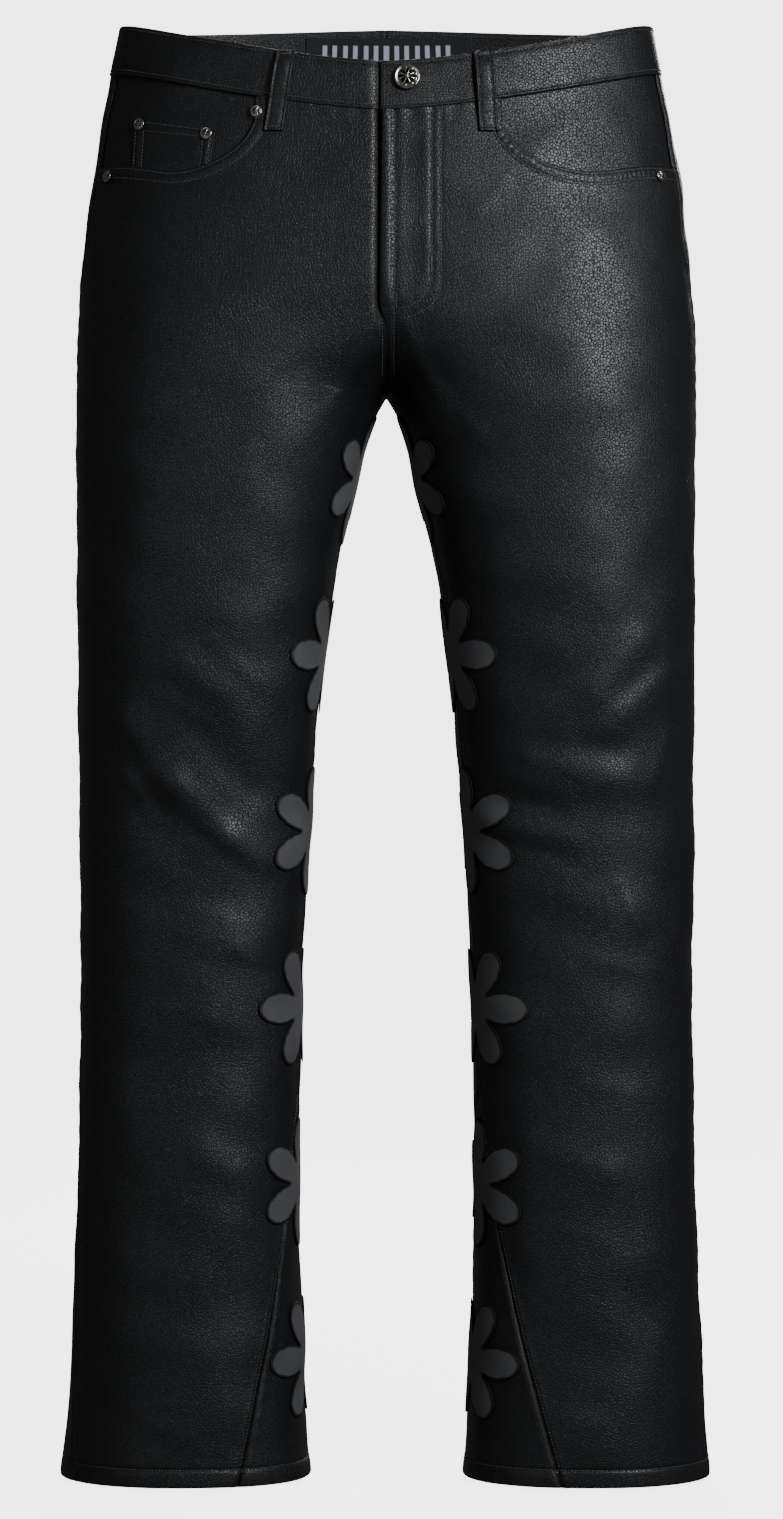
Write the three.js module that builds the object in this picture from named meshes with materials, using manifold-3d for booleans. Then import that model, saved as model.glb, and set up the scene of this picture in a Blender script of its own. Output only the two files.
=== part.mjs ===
// Leather five-pocket trousers with a slightly flared leg, filled out as they are when worn.
// Millimetres, +Z up. The front faces -Y and the wearer's left is at +X.
// The origin is the centre of the waist, level with the top of the band at the sides.
import * as THREE from "three";
import { mergeVertices } from "three/addons/utils/BufferGeometryUtils.js";
import Module from "manifold-3d";

const wasm = await Module();
wasm.setup();

// Driving sizes
const wall = 1.5; // leather with its backing
const gap = 0.3; // between pieces at a seam
const hemLevel = -1099;
const crotchLevel = -281;
const bandHeight = 36.5;
const bandWall = 2.6; // two layers of leather
const bandProud = 0.9; // how far the band stands out from the panels
const waistDip = 37; // the band's top edge, lower at the centre front
const waistRise = 11; // and higher at the centre back
const flyLap = 0.01235; // how far the wearer's left front laps over the right one, in turns
const bandLap = 0.018; // and how far its band does
const flyStep = 3.6; // how far the right front sinks under it
const flyStepWidth = 13;
const flyBottom = -214;
const hemTurn = 12.5; // depth of the turned hem
const hemProud = 1.1;
const gussetTop = -812;
const gussetTipHalf = 0.004; // half width of the gusset's tip, in turns
const flowerRadius = 49;
const flowerEye = 17; // radius at the notches between petals
const flowerPetals = 6;
const flowerWall = 1.1;
const flowerCount = 6;
const flowerFirst = -345;
const flowerPitch = 133;
const rivetRadius = 4.5;
const buttonRadius = 9.6;
const loopWidth = 14.5;
const loopWall = 2;
const loopSlack = 2.8; // room for a belt behind a loop
const loopTail = 24; // how far a loop runs on below the band

const right = { name: "right", sign: -1, pocketX: 97, pocketRun: 68, pocketU: 0.516 };
const left = { name: "left", sign: 1, pocketX: 85, pocketRun: 65, pocketU: 0.47 };
const sides = [right, left];

// The body at each level: how far its outline and the inner edge of the leg lie from the middle plane,
// and the depth of its front and back.
const sections = [
  { z: 14, outer: 200, inner: 0, front: 73, back: 75 },
  { z: 0, outer: 202, inner: 0, front: 74, back: 78 },
  { z: -40, outer: 210, inner: 0, front: 78, back: 87 },
  { z: -80, outer: 217.5, inner: 0, front: 82, back: 97 },
  { z: -130, outer: 225, inner: 0, front: 86, back: 107 },
  { z: -180, outer: 230.5, inner: 0, front: 89, back: 112 },
  { z: -230, outer: 234, inner: 0, front: 91, back: 107 },
  { z: -281, outer: 235, inner: 0, front: 91, back: 98 },
  { z: -288, outer: 235, inner: 5, front: 91, back: 97 },
  { z: -316, outer: 235, inner: 15, front: 90, back: 94 },
  { z: -353, outer: 235, inner: 24, front: 88, back: 91 },
  { z: -389, outer: 235, inner: 33, front: 86, back: 88 },
  { z: -426, outer: 235, inner: 39.5, front: 84, back: 85 },
  { z: -462, outer: 234.5, inner: 44.5, front: 81, back: 82 },
  { z: -535, outer: 234, inner: 52.5, front: 74, back: 74 },
  { z: -608, outer: 233.5, inner: 58, front: 68, back: 66 },
  { z: -699, outer: 232.5, inner: 63.5, front: 66, back: 68 },
  { z: -772, outer: 232.5, inner: 65.5, front: 66, back: 72 },
  { z: -845, outer: 234, inner: 67, front: 67, back: 72 },
  { z: -918, outer: 236, inner: 66.5, front: 69, back: 71 },
  { z: -991, outer: 239, inner: 64, front: 71, back: 72 },
  { z: -1050, outer: 242.5, inner: 61.5, front: 73, back: 74 },
  { z: -1099, outer: 246, inner: 58, front: 75, back: 76 },
];

// Where the seams lie at each level, in turns round the section from its inner edge by way of the front.
const seams = [
  { z: 14, sideright: 0.45, sideleft: 0.45, inright: 0, inleft: 0 },
  { z: -150, sideright: 0.455, sideleft: 0.455, inright: 0, inleft: 0 },
  { z: -240, sideright: 0.49, sideleft: 0.485, inright: 0, inleft: 0 },
  { z: -281, sideright: 0.5, sideleft: 0.5, inright: 0, inleft: 0 },
  { z: -360, sideright: 0.505, sideleft: 0.505, inright: 0.02, inleft: 0.03 },
  { z: -500, sideright: 0.505, sideleft: 0.505, inright: 0.03, inleft: 0.055 },
  { z: -760, sideright: 0.465, sideleft: 0.5, inright: 0.03, inleft: 0.055 },
  { z: -1000, sideright: 0.44, sideleft: 0.47, inright: 0.02, inleft: 0.05 },
  { z: -1099, sideright: 0.415, sideleft: 0.455, inright: 0.01, inleft: 0.045 },
];

// The largest folds, each a soft ridge (or a trough, with a negative lift) from one point to another as seen from
// the front or the back.
const folds = [
  { side: right, face: "front", x: 195, z: -530, toX: 158, toZ: -575, width: 12, lift: 2.6 },
  { side: right, face: "front", x: 158, z: -575, toX: 117, toZ: -616, width: 12, lift: 3 },
  { side: right, face: "front", x: 117, z: -616, toX: 92, toZ: -632, width: 12, lift: 2.4 },
  { side: right, face: "front", x: 150, z: -486, toX: 102, toZ: -530, width: 12, lift: 2.2 },
  { side: right, face: "front", x: 140, z: -540, toX: 100, toZ: -582, width: 13, lift: -1.8 },
  { side: right, face: "front", x: 180, z: -592, toX: 150, toZ: -630, width: 15, lift: -1.8 },
  { side: right, face: "front", x: 128, z: -754, toX: 100, toZ: -761, width: 12, lift: 2 },
  { side: right, face: "front", x: 178, z: -676, toX: 100, toZ: -700, width: 11, lift: 1.8 },
  { side: right, face: "front", x: 139, z: -850, toX: 115, toZ: -865, width: 14, lift: 1.8 },
  { side: left, face: "front", x: 166, z: -531, toX: 206, toZ: -519, width: 10, lift: 2.6 },
  { side: left, face: "front", x: 118, z: -538, toX: 196, toZ: -545, width: 8, lift: -1.8 },
  { side: left, face: "front", x: 122, z: -552, toX: 204, toZ: -563, width: 10, lift: 2.4 },
  { side: left, face: "front", x: 189, z: -470, toX: 156, toZ: -508, width: 12, lift: 1.8 },
  { side: left, face: "front", x: 77, z: -586, toX: 125, toZ: -596, width: 10, lift: -2 },
  { side: left, face: "front", x: 80, z: -604, toX: 135, toZ: -616, width: 11, lift: 2 },
  { side: left, face: "front", x: 126, z: -652, toX: 198, toZ: -674, width: 12, lift: 2 },
  { side: left, face: "front", x: 111, z: -847, toX: 166, toZ: -865, width: 14, lift: 1.8 },
  { side: left, face: "front", x: 112, z: -104, toX: 140, toZ: -78, width: 8, lift: 2.4 },
  { side: right, face: "front", x: 14, z: -238, toX: 26, toZ: -300, width: 8, lift: 1.6 },
  { side: left, face: "front", x: 14, z: -238, toX: 28, toZ: -305, width: 8, lift: 1.4 },
  { side: right, face: "back", x: 34, z: -268, toX: 150, toZ: -284, width: 19, lift: -3 },
  { side: left, face: "back", x: 32, z: -272, toX: 142, toZ: -290, width: 18, lift: -3.5 },
  { side: right, face: "back", x: 90, z: -575, toX: 205, toZ: -590, width: 13, lift: -3.5 },
  { side: left, face: "back", x: 85, z: -590, toX: 200, toZ: -572, width: 13, lift: -3.5 },
  { side: right, face: "back", x: 80, z: -622, toX: 190, toZ: -640, width: 13, lift: 2.8 },
  { side: left, face: "back", x: 80, z: -640, toX: 195, toZ: -618, width: 13, lift: 2.8 },
];

const clamp = (v, lo, hi) => Math.min(hi, Math.max(lo, v));
const lerp = (a, b, f) => a + (b - a) * f;
function smooth(v, from, to) {
  const f = clamp((v - from) / (to - from), 0, 1);
  return f * f * (3 - 2 * f);
}

// A column of a table at level z, on a smooth curve that never overshoots its rows.
function columnAt(table, column, z) {
  const at = clamp(z, table.at(-1).z, table[0].z);
  let i = table.findIndex((row) => row.z <= at) - 1;
  i = clamp(i, 0, table.length - 2);
  const slope = (k) =>
    (table[k + 1][column] - table[k][column]) / (table[k + 1].z - table[k].z);
  const tangent = (k) => {
    if (k <= 0 || k >= table.length - 1) return slope(clamp(k, 0, table.length - 2));
    const before = slope(k - 1);
    const after = slope(k);
    return before * after > 0 ? (2 * before * after) / (before + after) : 0;
  };
  const step = table[i + 1].z - table[i].z;
  const f = (at - table[i].z) / step;
  const f2 = f * f;
  const f3 = f2 * f;
  return (
    table[i][column] * (2 * f3 - 3 * f2 + 1) +
    tangent(i) * step * (f3 - 2 * f2 + f) +
    table[i + 1][column] * (3 * f2 - 2 * f3) +
    tangent(i + 1) * step * (f3 - f2)
  );
}

// Cosine and sine of an angle, pushed out towards a rounded square as fullness rises above 2.
function roundCorner(angle, fullness) {
  const c = Math.cos(angle);
  const s = Math.sin(angle);
  const k = (Math.abs(c) ** fullness + Math.abs(s) ** fullness) ** (-1 / fullness);
  return [c * k, s * k];
}

const hipFullness = 2.15;
const legFullness = 2.25;
const frontRiseTop = -185; // the rise seams leave the surface here and run under to the crotch
const backRiseTop = -125;
const hipBlendTop = -60;

// The hip section: half an oval round the middle plane.
function hipPoint(turn, s) {
  const half = turn > 0.5 ? 1 - turn : turn;
  const share = half / 3 + (4 * half * Math.abs(half)) / 3;
  const angle = Math.PI * (turn > 0.5 ? 1 - share : share);
  const [c, r] = roundCorner(angle, hipFullness);
  return [s.outer * r, -(c > 0 ? s.front : s.back) * c];
}

// The leg section: a whole oval below the crotch, and above it one that is opened at its inner edge,
// where the rise seam crosses the middle plane.
function legPoint(turn, z, s) {
  const middle = (s.outer + s.inner) / 2;
  const half = (s.outer - s.inner) / 2;
  const quarter = 0.25;
  let angle = 2 * Math.PI * turn;
  let open = 0;
  const fromSeam = turn < 0.5 ? turn : 1 - turn;
  if (z > crotchLevel && fromSeam < quarter) {
    const top = turn < 0.5 ? frontRiseTop : backRiseTop;
    open = Math.acos(clamp((top - z) / (top - crotchLevel), 0, 1));
    const inner = open + (Math.PI / 2 - open) * (fromSeam / quarter);
    angle = turn < 0.5 ? inner : 2 * Math.PI - inner;
  }
  const [c, r] = roundCorner(angle, legFullness);
  const y = -(r > 0 ? s.front : s.back) * r;
  if (z <= crotchLevel) return [middle - half * c, y];
  const [openC] = roundCorner(open, legFullness);
  if (fromSeam >= quarter) return [middle * (1 - c), y];
  return [middle * (openC > 1e-6 ? 1 - c / openC : fromSeam / quarter), y];
}

// A point of the unfolded body, on the wearer's left.
function bodyPoint(turn, z) {
  const s = {
    outer: columnAt(sections, "outer", z),
    inner: columnAt(sections, "inner", z),
    front: columnAt(sections, "front", z),
    back: columnAt(sections, "back", z),
  };
  const leg = legPoint(turn, z, s);
  const share = smooth(z, hipBlendTop, crotchLevel);
  const hip = share < 1 ? hipPoint(turn, s) : leg;
  return [lerp(hip[0], leg[0], share), lerp(hip[1], leg[1], share), z, s];
}

function foldLift(side, x, y, z, s) {
  let lift = 0;
  for (const f of folds) {
    if (f.side !== side) continue;
    const depth = f.face === "front" ? -y / s.front : y / s.back;
    const facing = smooth(depth, 0.1, 0.65);
    if (!facing) continue;
    const alongX = f.toX - f.x;
    const alongZ = f.toZ - f.z;
    const length2 = alongX * alongX + alongZ * alongZ;
    const k = clamp(((x - f.x) * alongX + (z - f.z) * alongZ) / length2, 0, 1);
    const away = Math.hypot(x - f.x - alongX * k, z - f.z - alongZ * k) / f.width;
    lift += f.lift * facing * Math.exp(-away * away);
  }
  return lift;
}

// How far the right front sinks near the centre front, to pass under the fly.
function flySink(side, x, z) {
  if (side !== right) return 0;
  return flyStep * (1 - smooth(x, 2, flyStepWidth)) * smooth(z, flyBottom - 50, flyBottom - 24);
}

// A point of one side, lifted off the surface along its normal.
function place(side, turn, z, lift = 0) {
  const nearT = 0.002;
  const nearZ = z > crotchLevel - 0.01 ? 0.4 : -0.4;
  const p = bodyPoint(turn, z);
  const a = bodyPoint(turn + nearT, z);
  const b = bodyPoint(turn - nearT, z);
  const c = bodyPoint(turn, z + nearZ);
  const across = new THREE.Vector3(a[0] - b[0], a[1] - b[1], 0);
  const up = new THREE.Vector3(c[0] - p[0], c[1] - p[1], nearZ);
  if (nearZ < 0) up.negate();
  const normal = new THREE.Vector3().crossVectors(across, up).normalize();
  const folded = foldLift(side, p[0], p[1], z, p[3]) - (p[1] < 0 ? flySink(side, p[0], z) : 0);
  const out = new THREE.Vector3(p[0], p[1], z).addScaledVector(normal, folded + lift);
  out.x = (out.x + gap / 2) * side.sign;
  return out;
}

// The turn at which the front of the body is x wide at level z.
function turnAtX(x, z) {
  let low = -0.05;
  let high = 0.5;
  for (let i = 0; i < 30; i++) {
    const middle = (low + high) / 2;
    if (bodyPoint(middle, z)[0] < x) low = middle;
    else high = middle;
  }
  return (low + high) / 2;
}

// Edges of the pieces
function bandTop(turn) {
  const [x, y, , s] = bodyPoint(turn, 0);
  const share = 1 - (Math.min(Math.abs(x) / s.outer, 1)) ** 1.5;
  return (y < 0 ? -waistDip : waistRise) * share;
}
const waistSeam = (turn) => bandTop(turn) - bandHeight - gap;
const seamTurn = (side, name, z) => columnAt(seams, name + side.name, z);
const halfSeam = (z) => gap / 2 / (z > crotchLevel ? 900 : 500); // half a seam's gap, in turns

function gussetHalf(z) {
  if (z > gussetTop) return 0;
  return gussetTipHalf + (0.165 * (gussetTop - z)) / (gussetTop - hemLevel);
}

// The edge of the front pocket: a quarter oval that lifts a little towards the side seam.
const pocketLow = -118.5;
const pocketRise = 46;
const pocketEnd = { from: 150, to: 210, lift: 8 };
function pocketEdge(side, x) {
  const share = clamp((side.pocketX + side.pocketRun - x) / side.pocketRun, 0, 1);
  const end = pocketEnd.lift * smooth(x, pocketEnd.from, pocketEnd.to);
  return pocketLow + pocketRise * (1 - Math.sqrt(1 - share * share)) + end;
}

function frontTurn(side, u, z) {
  const lap = side === left ? flyLap * smooth(z, flyBottom - 22, flyBottom) : 0;
  const start = seamTurn(side, "in", z) + gussetHalf(z) + halfSeam(z) - lap;
  const end = seamTurn(side, "side", z) - halfSeam(z);
  return lerp(start, end, u);
}
function backTurn(side, u, z) {
  const start = seamTurn(side, "side", z) + halfSeam(z);
  const end = 1 + seamTurn(side, "in", z) - gussetHalf(z) - halfSeam(z);
  return lerp(start, end, u);
}

// The top of the front panel at a column: the waist seam, or the pocket's edge beyond it.
function frontTop(side, u) {
  let high = waistSeam(frontTurn(side, u, -70));
  if (u <= side.pocketU) return high;
  let low = pocketLow - 4;
  for (let i = 0; i < 30; i++) {
    const middle = (low + high) / 2;
    if (middle > pocketEdge(side, bodyPoint(frontTurn(side, u, middle), middle)[0])) high = middle;
    else low = middle;
  }
  return (low + high) / 2;
}

// Evenly spread values, stretch by stretch; each stretch starts where the last one ends.
function spread(from, ...stretches) {
  const out = [from];
  for (const { to, steps } of stretches) {
    const start = out.at(-1);
    for (let i = 1; i <= steps; i++) out.push(lerp(start, to, i / steps));
  }
  return out;
}

const topLevel = -72;
const legLevels = spread(
  crotchLevel,
  { to: -340, steps: 3 },
  { to: gussetTop + gap, steps: 12 },
  { to: gussetTop - gap, steps: 1 },
  { to: hemLevel + hemTurn, steps: 7 },
  { to: hemLevel, steps: 3 },
);
const panelLevels = [
  ...spread(topLevel, { to: frontRiseTop, steps: 4 }, { to: crotchLevel, steps: 6 }),
  ...legLevels.slice(1),
];

// The level of a row at one column: it bends with the top edge, and fans in to the crotch at the rise seam.
function rowLevel(level, top, riseTop, turn) {
  if (level >= frontRiseTop) return lerp(top, frontRiseTop, (level - topLevel) / (frontRiseTop - topLevel));
  if (level <= crotchLevel || riseTop !== frontRiseTop) return level;
  const share = (level - riseTop) / (crotchLevel - riseTop);
  const fan = lerp(riseTop, crotchLevel, Math.sin((share * Math.PI) / 2));
  return lerp(fan, level, smooth(Math.min(turn, 1 - turn), 0, 0.25));
}

// The turned hem stands a little proud and closes in at its lower edge.
function hemLift(z) {
  const share = clamp((hemLevel + hemTurn - z) / hemTurn, 0, 1);
  return hemProud * Math.sqrt(Math.sin(Math.PI * share * 0.86));
}

// A closed wall from rows of outer points and rows of inner points.
function wallGeometry(outer, inner, mirrored) {
  const rows = outer.length;
  const columns = outer[0].length;
  const points = [...outer.flat(), ...inner.flat()];
  const at = (r, c, layer) => layer * rows * columns + r * columns + c;
  const faces = [];
  const quad = (a, b, c, d) => faces.push(...(mirrored ? [a, c, b, a, d, c] : [a, b, c, a, c, d]));
  for (let r = 0; r + 1 < rows; r++) {
    for (let c = 0; c + 1 < columns; c++) {
      quad(at(r, c, 0), at(r + 1, c, 0), at(r + 1, c + 1, 0), at(r, c + 1, 0));
      quad(at(r, c, 1), at(r, c + 1, 1), at(r + 1, c + 1, 1), at(r + 1, c, 1));
    }
  }
  for (let r = 0; r + 1 < rows; r++) {
    quad(at(r, 0, 0), at(r, 0, 1), at(r + 1, 0, 1), at(r + 1, 0, 0));
    quad(at(r, columns - 1, 0), at(r + 1, columns - 1, 0), at(r + 1, columns - 1, 1), at(r, columns - 1, 1));
  }
  for (let c = 0; c + 1 < columns; c++) {
    quad(at(0, c, 0), at(0, c + 1, 0), at(0, c + 1, 1), at(0, c, 1));
    quad(at(rows - 1, c, 0), at(rows - 1, c, 1), at(rows - 1, c + 1, 1), at(rows - 1, c + 1, 0));
  }
  const geometry = new THREE.BufferGeometry();
  const flat = new Float32Array(points.flatMap((p) => [p.x, p.y, p.z]));
  geometry.setAttribute("position", new THREE.BufferAttribute(flat, 3));
  geometry.setIndex(faces);
  geometry.computeVertexNormals();
  return geometry;
}

// A wall on one side whose grid of turns and levels is given by where(row, column), between two lifts.
function sheetGeometry(side, rows, columns, where, outerLift, innerLift) {
  const layer = (lift) =>
    Array.from({ length: rows }, (_, r) =>
      Array.from({ length: columns }, (_, c) => {
        const { turn, z, extra = 0 } = where(r, c);
        return place(side, turn, z, lift + extra);
      }),
    );
  return wallGeometry(layer(outerLift), layer(innerLift), side === right);
}

// Materials
const black = new THREE.MeshStandardMaterial({ name: "black_leather", color: 0x141416, roughness: 0.42 });
const grey = new THREE.MeshStandardMaterial({ name: "grey_leather", color: 0x48484b, roughness: 0.75 });
const steel = new THREE.MeshStandardMaterial({ name: "bright_metal", color: 0xb9b4ac, metalness: 1, roughness: 0.22 });
const ribbon = new THREE.MeshStandardMaterial({ name: "woven_label", color: 0x19191b, roughness: 0.85 });

const trousers = new THREE.Group();
function add(name, geometry, material) {
  const mesh = new THREE.Mesh(geometry, material);
  mesh.name = name;
  trousers.add(mesh);
  return mesh;
}

// Fronts and backs
const beforePocket = [0, 0.06, 0.13, 0.21, 0.3, 0.4];
const pastPocket = [0, 0.03, 0.08, 0.15, 0.24, 0.33, 0.42];
const frontColumns = (side) => [...beforePocket, ...pastPocket.map((u) => side.pocketU + u), 1];
const backColumns = [0, 0.05, 0.11, 0.18, 0.27, 0.37, 0.48, 0.59, 0.7, 0.8, 0.88, 0.94, 1];

function frontPanel(side) {
  const columns = frontColumns(side);
  const tops = columns.map((u) => frontTop(side, u));
  const where = (r, c) => {
    const level = panelLevels[r];
    const z = rowLevel(level, tops[c], frontRiseTop, frontTurn(side, columns[c], level));
    return { turn: frontTurn(side, columns[c], z), z, extra: hemLift(z) };
  };
  return sheetGeometry(side, panelLevels.length, columns.length, where, 0, -wall);
}

function backPanel(side) {
  const tops = backColumns.map((u) => waistSeam(backTurn(side, u, -40)));
  const where = (r, c) => {
    const level = panelLevels[r];
    const z = rowLevel(level, tops[c], frontRiseTop, backTurn(side, backColumns[c], level));
    return { turn: backTurn(side, backColumns[c], z), z, extra: hemLift(z) };
  };
  return sheetGeometry(side, panelLevels.length, backColumns.length, where, 0, -wall);
}

// The flare's gusset, set into the inseam from the calf to the hem
const gussetColumns = [-1, -0.5, 0, 0.5, 1];
function gusset(side) {
  const levels = legLevels.filter((z) => z < gussetTop);
  const where = (r, c) => {
    const z = r ? levels[r] : levels[0] - gap;
    const half = gussetHalf(z) - halfSeam(z);
    return { turn: seamTurn(side, "in", z) + half * gussetColumns[c], z, extra: hemLift(z) };
  };
  return sheetGeometry(side, levels.length, gussetColumns.length, where, 0, -wall);
}

// The waistband, in two halves that meet at the centre back; the left one laps over the right one in front.
// It stands on the columns of the panels below it.
function bandTurns(side) {
  const front = frontColumns(side).map((u) => frontTurn(side, u, -70));
  const back = backColumns.map((u) => backTurn(side, u, -70));
  return [...(side === left ? [-bandLap] : []), ...front, ...back.slice(1)];
}
function waistband(side) {
  const heights = [0, 0.08, 0.5, 0.92, 1];
  const turns = bandTurns(side);
  const where = (r, c) => {
    const turn = turns[c];
    const rolled = r === 0 || r === heights.length - 1 ? -0.6 : 0;
    return { turn, z: bandTop(turn) - bandHeight * heights[r], extra: rolled };
  };
  return sheetGeometry(side, heights.length, turns.length, where, bandProud, bandProud - bandWall);
}

// The leather seen inside each pocket opening, one wall further in, on the front's own columns
const bearerLift = -wall - gap;
function pocketBearer(side, outerLift, innerLift) {
  const columns = frontColumns(side).filter((u) => u >= side.pocketU);
  const rows = 6;
  const where = (r, c) => {
    const u = columns[c];
    const edge = frontTop(side, u);
    const top = waistSeam(frontTurn(side, u, -70));
    const tucked = lerp(edge, frontRiseTop, 0.25);
    const z = c && r < rows - 1 ? lerp(top, edge, r / (rows - 2)) : lerp(top, tucked, r / (rows - 1));
    return { turn: frontTurn(side, u, z), z };
  };
  return sheetGeometry(side, rows, columns.length, where, outerLift, innerLift);
}

// Corners of the watch pocket as seen from the front
const watchPocket = [
  { x: 127.5, z: -87.5 },
  { x: 190, z: -75 },
  { x: 192.5, z: -110 },
  { x: 131.7, z: -109.5 },
];
const watchPocketLift = bearerLift + gap;
const watchPocketWall = 1;

// The label inside the back of the band
const labelHalfTurn = 0.176;
const labelTop = 7;
const labelBottom = 31;
const labelWall = 0.7;
function labelShell() {
  const sideTurns = (side) => bandTurns(side).slice(-5).reverse();
  const turns = [...sideTurns(left).reverse(), ...sideTurns(right).map((t) => 2 - t)];
  const inner = bandProud - bandWall - gap;
  const where = (r, c) => ({ turn: turns[c], z: bandTop(1) - (r ? bandHeight - 1 : 1) });
  return sheetGeometry(left, 2, turns.length, where, inner, inner - labelWall);
}

// A belt loop: a strip from the band's top edge to below the waist seam, standing off the band between
function beltLoop(side, turn, lean) {
  const stations = [
    { down: 0, lift: bandProud + gap + 0.2 },
    { down: 5, lift: bandProud + gap + 0.4 },
    { down: 10, lift: bandProud + loopSlack },
    { down: bandHeight / 2, lift: bandProud + loopSlack + 0.5 },
    { down: bandHeight - 8, lift: bandProud + loopSlack },
    { down: bandHeight + 2, lift: bandProud + gap + 0.6 },
    { down: bandHeight + loopTail * 0.5, lift: gap + 0.35 },
    { down: bandHeight + loopTail, lift: gap + 0.25 },
  ];
  const top = bandTop(turn);
  const where = (r, c) => {
    const z = top - stations[r].down;
    const across = lerp(-loopWidth / 2, loopWidth / 2, c / 2);
    const speed = (bodyPoint(turn + 0.01, z)[0] - bodyPoint(turn - 0.01, z)[0]) / 0.02;
    const run = Math.hypot(speed, (bodyPoint(turn + 0.01, z)[1] - bodyPoint(turn - 0.01, z)[1]) / 0.02);
    return { turn: turn + (across + (lean * stations[r].down) / 60) / run, z, extra: stations[r].lift };
  };
  return sheetGeometry(side, stations.length, 3, where, loopWall, 0);
}

// A domed stud, turned from its profile, facing +Z before it is set
function stud(radius, height, segments, foot) {
  const profile = [
    [0, 0],
    [radius * foot, 0],
    [radius * foot, height * 0.22],
    [radius, height * 0.34],
    [radius * 0.95, height * 0.6],
    [radius * 0.6, height * 0.94],
    [0, height],
  ];
  return new THREE.LatheGeometry(
    profile.map(([r, h]) => new THREE.Vector2(r, h)),
    segments,
  ).rotateX(Math.PI / 2);
}

// Sets a stud on one side at a point of the front, facing out of the surface.
function setStud(name, geometry, side, x, z, lift) {
  const turn = turnAtX(x, z);
  const seat = place(side, turn, z, lift);
  const out = place(side, turn, z, lift + 10).sub(seat).normalize();
  const mesh = add(name, geometry, steel);
  mesh.position.copy(seat);
  mesh.quaternion.setFromUnitVectors(new THREE.Vector3(0, 0, 1), out);
}

// Flowers wrapped round the inseams. Each is the leg's own grid of points moved out, cut to the flower's outline.
function innerTurns(side, z) {
  const seam = seamTurn(side, "in", z);
  const reach = [1, 2, 3, 4];
  const front = reach.map((i) => frontTurn(side, frontColumns(side)[i], z));
  const back = reach.map((i) => backTurn(side, backColumns.at(-1 - i), z) - 1).reverse();
  const half = gussetHalf(z);
  const middle = half ? gussetColumns.map((g) => seam + half * g) : [seam];
  return [...back.slice(half ? 1 : 0), ...middle, ...front.slice(0, half ? 3 : 4)];
}

function toSolid(geometry) {
  const bare = geometry.index ? geometry.toNonIndexed() : geometry.clone();
  bare.deleteAttribute("normal");
  bare.deleteAttribute("uv");
  const merged = mergeVertices(bare, 1e-4);
  return new wasm.Manifold(
    new wasm.Mesh({
      numProp: 3,
      vertProperties: new Float32Array(merged.attributes.position.array),
      triVerts: new Uint32Array(merged.index.array),
    }),
  );
}

function toGeometry(solid) {
  const mesh = solid.getMesh();
  const geometry = new THREE.BufferGeometry();
  geometry.setAttribute("position", new THREE.BufferAttribute(mesh.vertProperties, 3));
  geometry.setIndex(new THREE.BufferAttribute(mesh.triVerts, 1));
  geometry.computeVertexNormals();
  return geometry;
}

// The flower's radius at an angle: round petals with notches between them
function flowerOutline(angle, turned) {
  const petal = Math.abs(Math.cos((flowerPetals / 2) * (angle + turned)));
  return flowerEye + (flowerRadius - flowerEye) * petal ** 0.75;
}

// Length of one turn round the leg, near its inner edge
function turnLength(z) {
  const [ax, ay] = bodyPoint(0.06, z);
  const [bx, by] = bodyPoint(0, z);
  return Math.hypot(ax - bx, ay - by) / 0.06;
}

// What is left of a shell inside an outline that stands square to it. The outline runs round its centre
// from the top by way of rising turns.
function cutOut(side, shell, outline, centre) {
  const above = 13;
  const below = -8;
  const ring = (lift) => outline.map(({ turn, z }) => place(side, turn, z, lift));
  const middle = (lift) => place(side, centre.turn, centre.z, lift);
  const points = [...ring(above), ...ring(below), middle(above), middle(below)];
  const steps = outline.length;
  const faces = [];
  for (let i = 0; i < steps; i++) {
    const j = (i + 1) % steps;
    const outward = [
      [i, j, 2 * steps],
      [steps + j, steps + i, 2 * steps + 1],
      [i, steps + i, steps + j],
      [i, steps + j, j],
    ];
    for (const [a, b, c] of outward) faces.push(...(side === left ? [a, c, b] : [a, b, c]));
  }
  const cutter = new THREE.BufferGeometry();
  const flat = new Float32Array(points.flatMap((p) => [p.x, p.y, p.z]));
  cutter.setAttribute("position", new THREE.BufferAttribute(flat, 3));
  cutter.setIndex(faces);
  return toGeometry(toSolid(shell).intersect(toSolid(cutter)));
}

function flower(side, level, turned) {
  const onGusset = level < gussetTop;
  const rows = legLevels.filter((z) => z < gussetTop === onGusset && Math.abs(z - level) < flowerRadius + 30);
  const columns = innerTurns(side, level).length;
  const where = (r, c) => ({ turn: innerTurns(side, rows[r])[c], z: rows[r] });
  const shell = sheetGeometry(side, rows.length, columns, where, gap + flowerWall, gap);
  const centre = { turn: seamTurn(side, "in", level), z: level };
  const length = turnLength(level);
  const steps = 5 * flowerPetals;
  const outline = Array.from({ length: steps }, (_, i) => {
    const angle = (i * 2 * Math.PI) / steps;
    const radius = flowerOutline(angle, turned);
    return { turn: centre.turn + (radius * Math.sin(angle)) / length, z: level + radius * Math.cos(angle) };
  });
  return cutOut(side, shell, outline, centre);
}

function watchPocketPatch() {
  const lift = watchPocketLift;
  const shell = pocketBearer(right, lift + watchPocketWall, lift);
  const outline = watchPocket.map(({ x, z }) => ({ turn: turnAtX(x, z), z }));
  return cutOut(right, shell, outline, { turn: turnAtX(158, -99), z: -99 });
}

function label() {
  const top = bandTop(1);
  const outline = [
    { turn: 1 - labelHalfTurn, z: top - labelTop },
    { turn: 1 + labelHalfTurn, z: top - labelTop },
    { turn: 1 + labelHalfTurn, z: top - labelBottom },
    { turn: 1 - labelHalfTurn, z: top - labelBottom },
  ];
  return cutOut(left, labelShell(), outline, { turn: 1, z: top - (labelTop + labelBottom) / 2 });
}

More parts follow.
